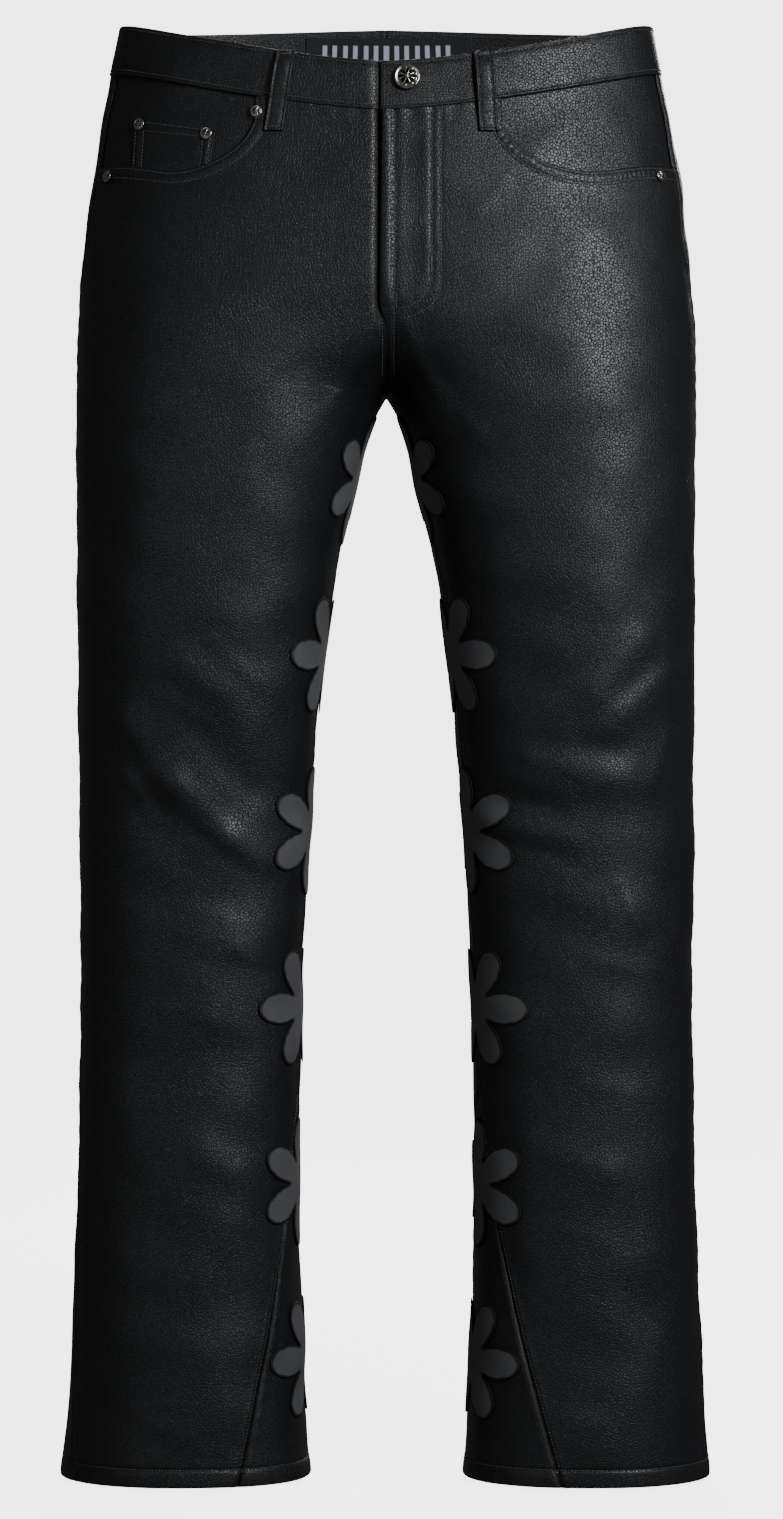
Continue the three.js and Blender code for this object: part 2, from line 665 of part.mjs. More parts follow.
for (const side of sides) {
  add(`front_${side.name}`, frontPanel(side), black);
  add(`back_${side.name}`, backPanel(side), black);
  add(`gusset_${side.name}`, gusset(side), black);
  add(`waistband_${side.name}`, waistband(side), black);
  add(`pocket_bearer_${side.name}`, pocketBearer(side, bearerLift, bearerLift - wall), black);
  for (let i = 0; i < flowerCount; i++) {
    const turned = i % 2 ? Math.PI / flowerPetals : 0;
    add(`flower_${side.name}_${i + 1}`, flower(side, flowerFirst - flowerPitch * i, turned), grey);
  }
}
add("watch_pocket", watchPocketPatch(), black);
add("label", label(), ribbon);

add("belt_loop_front_right", beltLoop(right, turnAtX(74, -30), 5.5), black);
add("belt_loop_front_left", beltLoop(left, turnAtX(71.5, -30), 0.5), black);
add("belt_loop_side_right", beltLoop(right, 0.66, 0), black);
add("belt_loop_side_left", beltLoop(left, 0.66, 0), black);
add("belt_loop_back", beltLoop(left, 1, 0), black);

const rivet = () => stud(rivetRadius, 2.2, 12, 0.6);
setStud("rivet_watch_in", rivet(), right, 134, -90, watchPocketLift + watchPocketWall + gap);
setStud("rivet_watch_out", rivet(), right, 185, -80, watchPocketLift + watchPocketWall + gap);
setStud("rivet_pocket_right", rivet(), right, 96.5, -74.5, gap + 0.3);
setStud("rivet_side_right", rivet(), right, 210, -117.5, gap + 0.3);
setStud("rivet_side_left", rivet(), left, 206, -117.5, gap + 0.3);
setStud("button", stud(buttonRadius, 6.5, 20, 0.5), left, 15.5, -50, bandProud + gap);

export default trousers;
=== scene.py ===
# Black leather five-pocket trousers with a slight flare, filled out as they are when worn.
# Shapes are worked out in millimetres and put into the meshes in metres.
# The front faces -Y and the wearer's left is at +X.
import math
from types import SimpleNamespace

import bmesh
import bpy
import mathutils
import numpy as np
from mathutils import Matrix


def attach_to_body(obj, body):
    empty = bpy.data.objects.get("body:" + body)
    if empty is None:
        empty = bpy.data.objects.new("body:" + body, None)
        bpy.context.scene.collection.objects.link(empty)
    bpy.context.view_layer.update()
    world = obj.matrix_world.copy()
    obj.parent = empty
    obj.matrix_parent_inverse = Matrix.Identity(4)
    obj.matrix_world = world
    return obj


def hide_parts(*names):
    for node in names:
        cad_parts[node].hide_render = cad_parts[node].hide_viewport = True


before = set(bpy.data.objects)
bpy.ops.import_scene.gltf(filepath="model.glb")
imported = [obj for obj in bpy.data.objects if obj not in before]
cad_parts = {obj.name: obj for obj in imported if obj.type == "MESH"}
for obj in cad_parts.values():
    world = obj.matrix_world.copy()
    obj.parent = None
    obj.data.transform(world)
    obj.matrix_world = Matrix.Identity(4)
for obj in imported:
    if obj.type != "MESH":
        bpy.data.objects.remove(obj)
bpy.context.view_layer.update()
print("frame loaded")

# The body at each level: outline and inner edge of the leg from the middle plane, front and back depth
bodySections = {
    "z": [14, 0, -40, -80, -130, -180, -230, -281, -288, -316, -353, -389,
          -426, -462, -535, -608, -699, -772, -845, -918, -991, -1050, -1099],
    "outer": [200, 202, 210, 217.5, 225, 230.5, 234, 235, 235, 235, 235, 235,
              235, 234.5, 234, 233.5, 232.5, 232.5, 234, 236, 239, 242.5, 246],
    "inner": [0, 0, 0, 0, 0, 0, 0, 0, 5, 15, 24, 33,
              39.5, 44.5, 52.5, 58, 63.5, 65.5, 67, 66.5, 64, 61.5, 58],
    "front": [73, 74, 78, 82, 86, 89, 91, 91, 91, 90, 88, 86,
              84, 81, 74, 68, 66, 66, 67, 69, 71, 73, 75],
    "back": [75, 78, 87, 97, 107, 112, 107, 98, 97, 94, 91, 88,
             85, 82, 74, 66, 68, 72, 72, 71, 72, 74, 76],
}

# Seams at each level, in turns round the section from its inner edge by way of the front
seamPlaces = {
    "z": [14, -150, -240, -281, -360, -500, -760, -1000, -1099],
    "sideright": [0.45, 0.455, 0.49, 0.5, 0.505, 0.505, 0.465, 0.44, 0.415],
    "sideleft": [0.45, 0.455, 0.485, 0.5, 0.505, 0.505, 0.5, 0.47, 0.455],
    "inright": [0, 0, 0, 0, 0.02, 0.03, 0.03, 0.02, 0.01],
    "inleft": [0, 0, 0, 0, 0.03, 0.055, 0.055, 0.05, 0.045],
}

body = {
    "hipFullness": 2.15,
    "legFullness": 2.25,
    "seamShare": 0.25,  # turns either side of the inseam over which the crotch opens
    "hipBlendTop": -60,
    "frontRiseTop": -185,
    "backRiseTop": -125,
    "crotch": -281,
    "hem": -1099,
    "wall": 1.4,
}
waist = {"height": 36.5, "dip": 37, "rise": 11, "halfWidth": 202, "wall": 2.6, "proud": 0.9,
         "lap": -0.018, "seamGap": 0.3}
fly = {"step": 4.6, "stepFrom": 3.0, "stepTo": 10.5, "bottom": -214, "lap": -0.01235}
gusset = {"top": -812, "tip": 0.004, "spread": 0.165, "stitch": 2.4}
hem = {"turn": 12.5, "proud": 0.55}
pocket = {"low": -118.5, "rise": 46, "end": 8, "endFrom": 150, "endTo": 210,
          "right": {"x": 97, "run": 68}, "left": {"x": 85, "run": 65}}
signs = {"right": -1, "left": 1}

# Folds from one point to another, as seen from the front or the back. A negative lift is a trough.
# side, face, x, z, toX, toZ, width, lift
folds = [
    ("right", "front", 195, -530, 158, -575, 13, 2.6),
    ("right", "front", 158, -575, 117, -616, 12, 2.6),
    ("right", "front", 117, -616, 92, -632, 12, 2),
    ("right", "front", 150, -486, 102, -530, 14, 1.6),
    ("right", "front", 140, -540, 100, -582, 13, -1.8),
    ("right", "front", 180, -592, 150, -630, 15, -1.8),
    ("right", "front", 128, -754, 100, -761, 14, 1.1),
    ("right", "front", 178, -676, 100, -700, 13, 1.1),
    ("right", "front", 139, -850, 115, -865, 14, 1.8),
    ("left", "front", 166, -536, 204, -503, 12, 2),
    ("left", "front", 118, -546, 172, -549, 10, -1.2),
    ("left", "front", 110, -566, 178, -572, 14, 1.7),
    ("left", "front", 189, -470, 156, -508, 12, 1.8),
    ("left", "front", 77, -586, 125, -596, 10, -2),
    ("left", "front", 80, -604, 135, -616, 11, 2),
    ("left", "front", 120, -652, 178, -674, 15, 1.3),
    ("left", "front", 111, -847, 166, -865, 14, 1.8),
    ("left", "front", 110, -106, 138, -80, 12, 1.1),
    ("right", "front", 14, -238, 30, -296, 11, 1),
    ("left", "front", 14, -238, 32, -300, 11, 1),
    ("right", "back", 34, -268, 150, -284, 19, -3),
    ("left", "back", 32, -272, 142, -290, 18, -3.5),
    ("right", "back", 90, -575, 205, -590, 13, -3.5),
    ("left", "back", 85, -590, 200, -572, 13, -3.5),
    ("right", "back", 80, -622, 190, -640, 13, 2.8),
    ("left", "back", 80, -640, 195, -618, 13, 2.8),
]

# Fine creases, written as the folds are
creases = [
    ("right", "front", 9, -226, 40, -292, 5, 0.9),
    ("right", "front", 22, -262, 60, -318, 7, 0.4),
    ("right", "front", 60, -262, 112, -300, 7, -0.5),
    ("right", "front", 84, -104, 62, -124, 7, 0.5),
    ("right", "front", 128, -470, 96, -500, 6, 0.7),
    ("right", "front", 172, -508, 128, -530, 5, 0.6),
    ("right", "front", 196, -566, 172, -604, 6, 0.7),
    ("right", "front", 150, -606, 104, -640, 5, -0.7),
    ("right", "front", 162, -664, 118, -676, 6, 0.6),
    ("right", "front", 112, -700, 84, -712, 5, 0.6),
    ("right", "front", 168, -742, 130, -752, 6, 0.5),
    ("right", "front", 120, -898, 92, -912, 6, 0.5),
    ("right", "front", 190, -1046, 150, -1062, 7, 0.5),
    ("left", "front", 12, -228, 44, -300, 5, 0.8),
    ("left", "front", 28, -268, 74, -322, 6, 0.6),
    ("left", "front", 88, -128, 68, -150, 5, 0.5),
    ("left", "front", 211, -486, 174, -523, 5, 0.9),
    ("left", "front", 212, -537, 197, -579, 6, 0.8),
    ("left", "front", 150, -500, 122, -520, 6, 0.6),
    ("left", "front", 96, -560, 140, -574, 5, -0.7),
    ("left", "front", 174, -650, 190, -684, 6, 0.8),
    ("left", "front", 96, -628, 134, -642, 5, 0.7),
    ("left", "front", 150, -706, 196, -716, 6, 0.6),
    ("left", "front", 88, -742, 120, -752, 6, 0.5),
    ("left", "front", 150, -800, 188, -806, 7, 0.5),
    ("left", "front", 122, -905, 160, -914, 6, 0.5),
    ("left", "front", 110, -1040, 158, -1052, 7, 0.5),
    ("right", "back", 120, -296, 186, -300, 7, 0.9),
    ("right", "back", 60, -300, 110, -312, 6, 0.7),
    ("right", "back", 110, -556, 190, -562, 6, 0.9),
    ("right", "back", 96, -600, 170, -612, 6, -0.8),
    ("right", "back", 110, -668, 180, -676, 7, 0.7),
    ("right", "back", 120, -900, 170, -912, 7, 0.5),
    ("left", "back", 110, -302, 176, -308, 7, 0.9),
    ("left", "back", 56, -304, 104, -318, 6, 0.7),
    ("left", "back", 104, -560, 182, -552, 6, 0.9),
    ("left", "back", 100, -616, 176, -602, 6, -0.8),
    ("left", "back", 108, -676, 176, -664, 7, 0.7),
    ("left", "back", 116, -884, 168, -892, 7, 0.5),
]


def ramp(value, low, high):
    # 0 below low, 1 above high, 3f^2 - 2f^3 between
    f = np.clip((value - low) / (high - low), 0, 1)
    return f * f * (3 - 2 * f)


def mix(a, b, f):
    return a + (b - a) * f


def column(table, name, z):
    # a smooth curve through the table's rows: cubic pieces whose slope at a row is the harmonic mean of
    # the slopes on either side of it, so it never overshoots
    rows = -np.array(table["z"], float)
    values = np.array(table[name], float)
    slopes = np.diff(values) / np.diff(rows)
    before, after = slopes[:-1], slopes[1:]
    turning = before * after <= 0
    inner = np.where(turning, 0, 2 * before * after / np.where(turning, 1, before + after))
    tangents = np.concatenate([slopes[:1], inner, slopes[-1:]])
    at = np.clip(-np.asarray(z, float), rows[0], rows[-1])
    i = np.clip(np.searchsorted(rows, at, side="left") - 1, 0, len(rows) - 2)
    step = rows[i + 1] - rows[i]
    f = (at - rows[i]) / step
    return (
        values[i] * (2 * f**3 - 3 * f**2 + 1)
        + tangents[i] * step * (f**3 - 2 * f**2 + f)
        + values[i + 1] * (3 * f**2 - 2 * f**3)
        + tangents[i + 1] * step * (f**3 - f**2)
    )


def roundCorner(angle, fullness):
    # cosine and sine, pushed out towards a rounded square: divided by (|c|^n + |s|^n)^(1/n)
    c, s = np.cos(angle), np.sin(angle)
    k = (np.abs(c) ** fullness + np.abs(s) ** fullness) ** (-1 / fullness)
    return c * k, s * k


def bodyPoint(turn, z):
    # the hip's half oval and the leg's whole oval, mixed by level
    turn, z = np.broadcast_arrays(np.asarray(turn, float), np.asarray(z, float))
    outer, inner, front, back = (column(bodySections, n, z) for n in ("outer", "inner", "front", "back"))
    half = np.where(turn > 0.5, 1 - turn, turn)
    share = half / 3 + 4 * half * np.abs(half) / 3
    c, r = roundCorner(np.pi * np.where(turn > 0.5, 1 - share, share), body["hipFullness"])
    hipX, hipY = outer * r, -np.where(c > 0, front, back) * c

    middle, halfWidth = (outer + inner) / 2, (outer - inner) / 2
    riseTop = np.where(turn < 0.5, body["frontRiseTop"], body["backRiseTop"])
    above = z > body["crotch"]
    opening = np.where(above, np.arccos(np.clip((riseTop - z) / (riseTop - body["crotch"]), 0, 1)), 0)
    nearSeam = above & (half < body["seamShare"])
    bent = opening + (np.pi / 2 - opening) * half / body["seamShare"]
    angle = np.where(nearSeam, np.where(turn < 0.5, bent, 2 * np.pi - bent), 2 * np.pi * turn)
    c, r = roundCorner(angle, body["legFullness"])
    openC = roundCorner(opening, body["legFullness"])[0]
    inShare = np.where(openC > 1e-6, 1 - c / np.maximum(openC, 1e-6), half / body["seamShare"])
    legX = np.where(above, middle * np.where(nearSeam, inShare, 1 - c), middle - halfWidth * c)
    legY = -np.where(r > 0, front, back) * r

    legShare = 1 - ramp(z, body["crotch"], body["hipBlendTop"])
    return mix(hipX, legX, legShare), mix(hipY, legY, legShare), front, back


def foldLift(side, x, y, z, front, back):
    # each fold is lift * e^-(distance from its line / width)^2, and fades where the cloth turns sideways
    lift = np.zeros_like(x)
    for which, face, x0, z0, x1, z1, width, height in folds + creases:
        if which != side:
            continue
        facing = ramp(-y / front if face == "front" else y / back, 0.1, 0.65)
        k = np.clip(((x - x0) * (x1 - x0) + (z - z0) * (z1 - z0)) / ((x1 - x0) ** 2 + (z1 - z0) ** 2), 0, 1)
        away = np.hypot(x - x0 - (x1 - x0) * k, z - z0 - (z1 - z0) * k) / width
        lift += height * facing * np.exp(-(away**2))
    return lift


waves = {"seed": 5, "count": 26, "longest": 130, "shortest": 38, "height": 0.2}
waveDraw = np.random.default_rng(waves["seed"])
waveAim = waveDraw.normal(size=(waves["count"], 3)) * [0.8, 0.8, 1]
waveAim /= np.linalg.norm(waveAim, axis=1)[:, None]
waveLength = np.geomspace(waves["longest"], waves["shortest"], waves["count"])
wavePhase = waveDraw.uniform(0, 2 * np.pi, waves["count"])


def softWaves(x, y, z, side):
    # the hide's slow unevenness: a sum of sines in fixed random directions
    total = np.zeros_like(x)
    for aim, length, phase in zip(waveAim, waveLength, wavePhase):
        along = (signs[side] * x * aim[0] + y * aim[1] + z * aim[2]) * 2 * np.pi / length
        total += np.sin(along + phase) * waves["height"] * (length / waves["longest"]) ** 0.5
    return total


def surface(side, turn, z, lift=0.0):
    # the folded body, moved out along its normal by lift. Returns points and normals in millimetres.
    turn, z = np.broadcast_arrays(np.asarray(turn, float), np.asarray(z, float))
    nearZ = np.where(z > body["crotch"] - 0.01, 0.4, -0.4)
    x, y, front, back = bodyPoint(turn, z)
    ax, ay = bodyPoint(turn + 0.002, z)[:2]
    bx, by = bodyPoint(turn - 0.002, z)[:2]
    cx, cy = bodyPoint(turn, z + nearZ)[:2]
    across = np.stack([ax - bx, ay - by, np.zeros_like(x)], -1)
    up = np.stack([cx - x, cy - y, nearZ], -1) * np.sign(nearZ)[..., None]
    normal = np.cross(across, up)
    normal /= np.linalg.norm(normal, axis=-1)[..., None]
    sink = 0.0
    if side == "right":
        lapped = ramp(z, fly["bottom"] - 24, fly["bottom"] - 2)
        sink = fly["step"] * (1 - ramp(x, fly["stepFrom"], fly["stepTo"])) * lapped
        sink = np.where(y < 0, sink, 0)
    height = foldLift(side, x, y, z, front, back) + softWaves(x, y, z, side) - sink + lift
    point = np.stack([x, y, z], -1) + normal * height[..., None]
    mirror = np.array([signs[side], 1, 1])
    return point * mirror, normal * mirror


def turnAtX(x, z):
    # halving search for the turn at which the front is x wide at level z
    x, z = np.broadcast_arrays(np.asarray(x, float), np.asarray(z, float))
    low, high = np.full(x.shape, -0.06), np.full(x.shape, 0.5)
    for _ in range(28):
        middle = (low + high) / 2
        wide = bodyPoint(middle, z)[0] > x
        high, low = np.where(wide, middle, high), np.where(wide, low, middle)
    return (low + high) / 2


# Edges of the pieces
def bandTop(turn):
    x, y = bodyPoint(turn, 0.0)[:2]
    share = 1 - np.minimum(np.abs(x) / waist["halfWidth"], 1) ** 1.5
    return np.where(y < 0, -waist["dip"], waist["rise"]) * share


def waistSeam(turn):
    return bandTop(turn) - waist["height"] - waist["seamGap"]


def gussetHalf(z):
    spread = gusset["tip"] + gusset["spread"] * (gusset["top"] - z) / (gusset["top"] - body["hem"])
    return np.where(z > gusset["top"], 0, spread)


def frontEdges(side, z):
    # where the front starts at the inseam or centre front, and ends at the side seam, in turns
    lap = fly["lap"] * ramp(z, fly["bottom"] - 22, fly["bottom"]) if side == "left" else 0
    return column(seamPlaces, "in" + side, z) + gussetHalf(z) + lap, column(seamPlaces, "side" + side, z)


def backEdges(side, z):
    return column(seamPlaces, "side" + side, z), 1 + column(seamPlaces, "in" + side, z) - gussetHalf(z)


def pocketEdge(side, x):
    share = np.clip((pocket[side]["x"] + pocket[side]["run"] - x) / pocket[side]["run"], 0, 1)
    end = pocket["end"] * ramp(x, pocket["endFrom"], pocket["endTo"])
    return pocket["low"] + pocket["rise"] * (1 - np.sqrt(1 - share * share)) + end


probe = 0.004  # turns either side of a place, and in from a seam, at which arcs are measured


def speedAt(turn, z):
    # millimetres of arc for a turn
    ax, ay = bodyPoint(turn + probe, z)[:2]
    bx, by = bodyPoint(turn - probe, z)[:2]
    return np.hypot(ax - bx, ay - by) / (2 * probe)


def fromSeams(edges, side, turns, z):
    # millimetres from a piece's first edge and from its last
    start, end = edges(side, z)
    return (turns - start) * speedAt(start + probe, z), (end - turns) * speedAt(end - probe, z)


# Meshes
def putMesh(name, points, faces, material, attributes=None):
    mesh = bpy.data.meshes.new(name)
    mesh.from_pydata((np.asarray(points).reshape(-1, 3) / 1000).tolist(), [], faces.tolist())
    mesh.polygons.foreach_set("use_smooth", np.ones(len(mesh.polygons), bool))
    for label, values in (attributes or {}).items():
        layer = mesh.attributes.new(label, "FLOAT", "POINT")
        layer.data.foreach_set("value", np.asarray(values, np.float32).reshape(-1))
    mesh.validate()
    mesh.materials.append(material)
    piece = bpy.data.objects.new(name, mesh)
    bpy.context.scene.collection.objects.link(piece)
    return piece


def gridFaces(rows, columns, flipped=False, closedRows=False, closedColumns=False):
    r = np.arange(rows if closedRows else rows - 1)[:, None]
    c = np.arange(columns if closedColumns else columns - 1)[None, :]
    r1, c1 = (r + 1) % rows, (c + 1) % columns
    quads = np.stack(
        [r * columns + c + 0 * r1, r1 * columns + c, r1 * columns + c1, r * columns + c1], -1
    ).reshape(-1, 4)
    return quads[:, ::-1] if flipped else quads


def thicken(piece, wall):
    solid = piece.modifiers.new("wall", "SOLIDIFY")
    solid.thickness = wall / 1000
    solid.offset = -1


def gridPiece(name, side, points, material, wall, kept=None):
    # one panel. kept says which faces stay, and vertices that no face uses are left out
    faces = gridFaces(points.shape[0], points.shape[1], flipped=side == "right")
    points = points.reshape(-1, 3)
    if kept is not None:
        used, faces = np.unique(faces[kept.reshape(-1)], return_inverse=True)
        points, faces = points[used], faces.reshape(-1, 4)
    piece = putMesh(name, points, faces, material)
    thicken(piece, wall)
    return piece


def cutSize(points):
    # the widest row and the longest column of a grid, and its area, in metres
    rows = np.linalg.norm(np.diff(points, axis=1), axis=2).sum(1).max()
    columns = np.linalg.norm(np.diff(points, axis=0), axis=2).sum(0).max()
    a, b = points[1:, :-1] - points[:-1, :-1], points[:-1, 1:] - points[:-1, :-1]
    c, d = points[:-1, 1:] - points[1:, 1:], points[1:, :-1] - points[1:, 1:]
    area = (np.linalg.norm(np.cross(a, b), axis=2) + np.linalg.norm(np.cross(c, d), axis=2)).sum() / 2
    return (rows / 1000, columns / 1000), area / 1e6


def attach(piece, node=None):
    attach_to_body(piece, "root")
    if node:
        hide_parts(node)


def finishCloth(piece, node, points):
    flat, area = cutSize(points)
    area = float(np.clip(area, 0.31 * flat[0] * flat[1], flat[0] * flat[1]))
    attach(piece, node)


# Materials
def newLook(name):
    # a material, and what its nodes are joined to
    material = bpy.data.materials.new(name)
    material.use_nodes = True
    nodes, links = material.node_tree.nodes, material.node_tree.links
    place = nodes.new("ShaderNodeTexCoord").outputs["Object"]
    inputs = nodes["Principled BSDF"].inputs
    return SimpleNamespace(material=material, nodes=nodes, links=links, inputs=inputs, place=place)


def texture(look, kind, scale, place=None, **settings):
    node = look.nodes.new(kind)
    look.links.new(look.place if place is None else place, node.inputs["Vector"])
    node.inputs["Scale"].default_value = scale
    for label, value in settings.items():
        if label in node.inputs:
            node.inputs[label].default_value = value
        else:
            setattr(node, label, value)
    return node


def noise(look, scale, detail):
    return texture(look, "ShaderNodeTexNoise", scale, Detail=detail).outputs["Fac"]


def curveOf(look, source, points, target=None):
    # a value carried through a ramp of stops, and on into the surface's input that target names
    stops = look.nodes.new("ShaderNodeValToRGB")
    look.links.new(source, stops.inputs["Fac"])
    while len(stops.color_ramp.elements) < len(points):
        stops.color_ramp.elements.new(0.5)
    for element, (at, value) in zip(stops.color_ramp.elements, points):
        element.position = at
        element.color = (*([value] * 3), 1) if np.isscalar(value) else (*value, 1)
    if target:
        look.links.new(stops.outputs["Color"], look.inputs[target])
    return stops.outputs["Color"]


def timesPlus(look, kind, source, factor, addend):
    # source * factor + addend, for numbers or for vectors
    node = look.nodes.new(kind)
    node.operation = "MULTIPLY_ADD"
    look.links.new(source, node.inputs[0])
    node.inputs[1].default_value = factor
    look.links.new(addend, node.inputs[2])
    return node.outputs[0]


def addBumps(look, heights):
    # heights: (source, distance in millimetres), coarse to fine
    last = None
    for source, distance in heights:
        bump = look.nodes.new("ShaderNodeBump")
        bump.inputs["Strength"].default_value = 1
        bump.inputs["Distance"].default_value = distance / 1000
        look.links.new(source, bump.inputs["Height"])
        if last:
            look.links.new(last, bump.inputs["Normal"])
        last = bump.outputs["Normal"]
    look.links.new(last, look.inputs["Normal"])


def tintBy(look, share, colour, tinted):
    # the base colour goes from colour, which may be a node's, to tinted as share goes from 0 to 1
    tint = look.nodes.new("ShaderNodeMix")
    tint.data_type = "RGBA"
    look.links.new(share, tint.inputs["Factor"])
    if isinstance(colour, tuple):
        tint.inputs[6].default_value = (*colour, 1)
    else:
        look.links.new(colour, tint.inputs[6])
    tint.inputs[7].default_value = (*tinted, 1)
    look.links.new(tint.outputs[2], look.inputs["Base Color"])


def marked(look, name):
    # how far the piece's own attribute marks a place
    mark = look.nodes.new("ShaderNodeAttribute")
    mark.attribute_name = name
    return mark.outputs["Fac"]


# Colours, cells or waves in a metre, and heights in millimetres
leather = {
    "dark": (0.0068, 0.0072, 0.0082),
    "light": (0.0112, 0.0118, 0.0132),
    "pebble": 450,
    "pebbleHeight": 0.18,
    "drift": 90,
    "driftReach": 0.0015,
    "fine": 900,
    "fineHeight": 0.04,
    "broad": 24,
    "broadHeight": 0.35,
    "cloud": 9,
    "shine": 0.13,  # how much smoother the tops of the pebbles are
}
petalLook = {"dark": (0.085, 0.085, 0.089), "light": (0.116, 0.116, 0.121), "rim": (0.006, 0.006, 0.006),
             "grain": 700, "cloud": 30}
threadLook = {"dark": (0.045, 0.045, 0.045), "light": (0.13, 0.127, 0.122),
              "twist": 2500, "roughness": 0.42}
# the flute colour is painted shade: the button and rivets are darkened towards it inside their flutes
metalLook = {"dark": (0.42, 0.40, 0.36), "light": (0.70, 0.67, 0.60),
             "flute": (0.02, 0.018, 0.015), "wear": 400}
labelLook = {"tape": (0.012, 0.012, 0.013), "bar": (0.55, 0.53, 0.66), "threads": 1500, "roughness": 0.8}


def blackLeather():
    look = newLook("pebbledBlackLeather")
    drift = texture(look, "ShaderNodeTexNoise", leather["drift"], Detail=3).outputs["Color"]
    shifted = timesPlus(look, "ShaderNodeVectorMath", drift, [leather["driftReach"]] * 3, look.place)
    pebbles = texture(look, "ShaderNodeTexVoronoi", leather["pebble"], shifted,
                      feature="DISTANCE_TO_EDGE", Randomness=0.95)
    mounds = curveOf(look, pebbles.outputs["Distance"], [(0, 0.0), (0.05, 0.45), (0.13, 0.8), (0.4, 1.0)])
    fine = noise(look, leather["fine"], 4)
    broad = noise(look, leather["broad"], 4)
    addBumps(look, [(broad, leather["broadHeight"]), (mounds, leather["pebbleHeight"]),
                    (fine, leather["fineHeight"])])
    tintBy(look, noise(look, leather["cloud"], 3), leather["dark"], leather["light"])
    rough = curveOf(look, broad, [(0.25, 0.5), (0.75, 0.56)])
    worn = timesPlus(look, "ShaderNodeMath", mounds, -leather["shine"], rough)
    look.links.new(worn, look.inputs["Roughness"])
    curveOf(look, mounds, [(0, 0.24), (0.8, 0.6)], "Specular IOR Level")
    return look.material


def greyLeather():
    look = newLook("matteGreyLeather")
    look.inputs["Specular IOR Level"].default_value = 0.35
    cloud = noise(look, petalLook["cloud"], 5)
    addBumps(look, [(cloud, 0.5), (noise(look, petalLook["grain"], 5), 0.08)])
    face = curveOf(look, cloud, [(0.3, petalLook["dark"]), (0.7, petalLook["light"])])
    tintBy(look, marked(look, "edge"), face, petalLook["rim"])
    curveOf(look, cloud, [(0.2, 0.7), (0.8, 0.82)], "Roughness")
    return look.material


def blackThread():
    look = newLook("blackThread")
    twist = noise(look, threadLook["twist"], 2)
    curveOf(look, twist, [(0.3, threadLook["dark"]), (0.7, threadLook["light"])], "Base Color")
    look.inputs["Roughness"].default_value = threadLook["roughness"]
    return look.material


def brightMetal():
    look = newLook("polishedWarmMetal")
    look.inputs["Metallic"].default_value = 1
    wear = noise(look, metalLook["wear"], 4)
    colour = curveOf(look, wear, [(0.3, metalLook["dark"]), (0.7, metalLook["light"])])
    # painted shade: the flute mark darkens the metal towards the flute colour inside the flutes
    tintBy(look, marked(look, "flute"), colour, metalLook["flute"])
    curveOf(look, wear, [(0.3, 0.14), (0.7, 0.26)], "Roughness")
    addBumps(look, [(wear, 0.04)])
    return look.material


def labelWeave():
    look = newLook("wovenLabel")
    tintBy(look, marked(look, "bar"), labelLook["tape"], labelLook["bar"])
    look.inputs["Roughness"].default_value = labelLook["roughness"]
    addBumps(look, [(noise(look, labelLook["threads"], 2), 0.15)])
    return look.material


black = blackLeather()
grey = greyLeather()
thread = blackThread()
metal = brightMetal()
weave = labelWeave()
print("materials made")

# Relief on the panels
seam = {"groove": 1.3, "grooveWidth": 1.2, "roll": 0.5, "rollAt": 3.6, "rollWidth": 2.2}
# the phases are shared by the pieces on both sides of a seam, so that their edges meet
puckers = {"height": 0.22, "pitch": 15, "reach": 9, "side": 0.6, "inseam": 2.1, "waist": 1.0}


def dent(distance, depth, width):
    return -depth * np.exp(-((distance / width) ** 2))


def seamDip(distance):
    # a groove at the seam and a soft roll beside it
    roll = dent(distance - seam["rollAt"], seam["roll"], seam["rollWidth"])
    return dent(distance, seam["groove"], seam["grooveWidth"]) - roll


def puckerLift(distance, along, phase):
    # small waves along a seam, dying away from it
    wave = np.sin(2 * np.pi * along / puckers["pitch"] + phase + 1.7 * np.sin(along / 37.0 + phase))
    return puckers["height"] * wave * np.exp(-((distance / puckers["reach"]) ** 2))


def onPath(x, z, pathX, pathZ):
    # distance from each point to a path, and how far along it the nearest place is, as seen from the front
    best = np.full(x.shape, 1e9)
    along = np.zeros(x.shape)
    run = 0.0
    for x0, z0, x1, z1 in zip(pathX[:-1], pathZ[:-1], pathX[1:], pathZ[1:]):
        span = (x1 - x0) ** 2 + (z1 - z0) ** 2
        k = np.clip(((x - x0) * (x1 - x0) + (z - z0) * (z1 - z0)) / span, 0, 1)
        away = np.hypot(x - x0 - (x1 - x0) * k, z - z0 - (z1 - z0) * k)
        along = np.where(away < best, run + k * np.sqrt(span), along)
        best = np.minimum(best, away)
        run += np.sqrt(span)
    return best, along


def toPath(x, z, pathX, pathZ):
    return onPath(x, z, pathX, pathZ)[0]


flyStitch = {
    "edgeX": 5.9,
    "inner": {"x": 34, "bendZ": -197, "endX": 9, "endZ": -222},
    "outer": {"x": 40.8, "bendZ": -202, "endX": 9, "endZ": -229.5},
    "seamIn": -2.2,
    "seamOut": 5.2,
}


def flyPath(name, count=22):
    # down beside the fly, then a quarter oval in to the centre
    p = flyStitch[name]
    bend = np.linspace(0, np.pi / 2, count)
    x = np.concatenate([[p["x"]], p["endX"] + (p["x"] - p["endX"]) * np.cos(bend)])
    z = np.concatenate([[-60], p["bendZ"] + (p["endZ"] - p["bendZ"]) * np.sin(bend)])
    return x, z


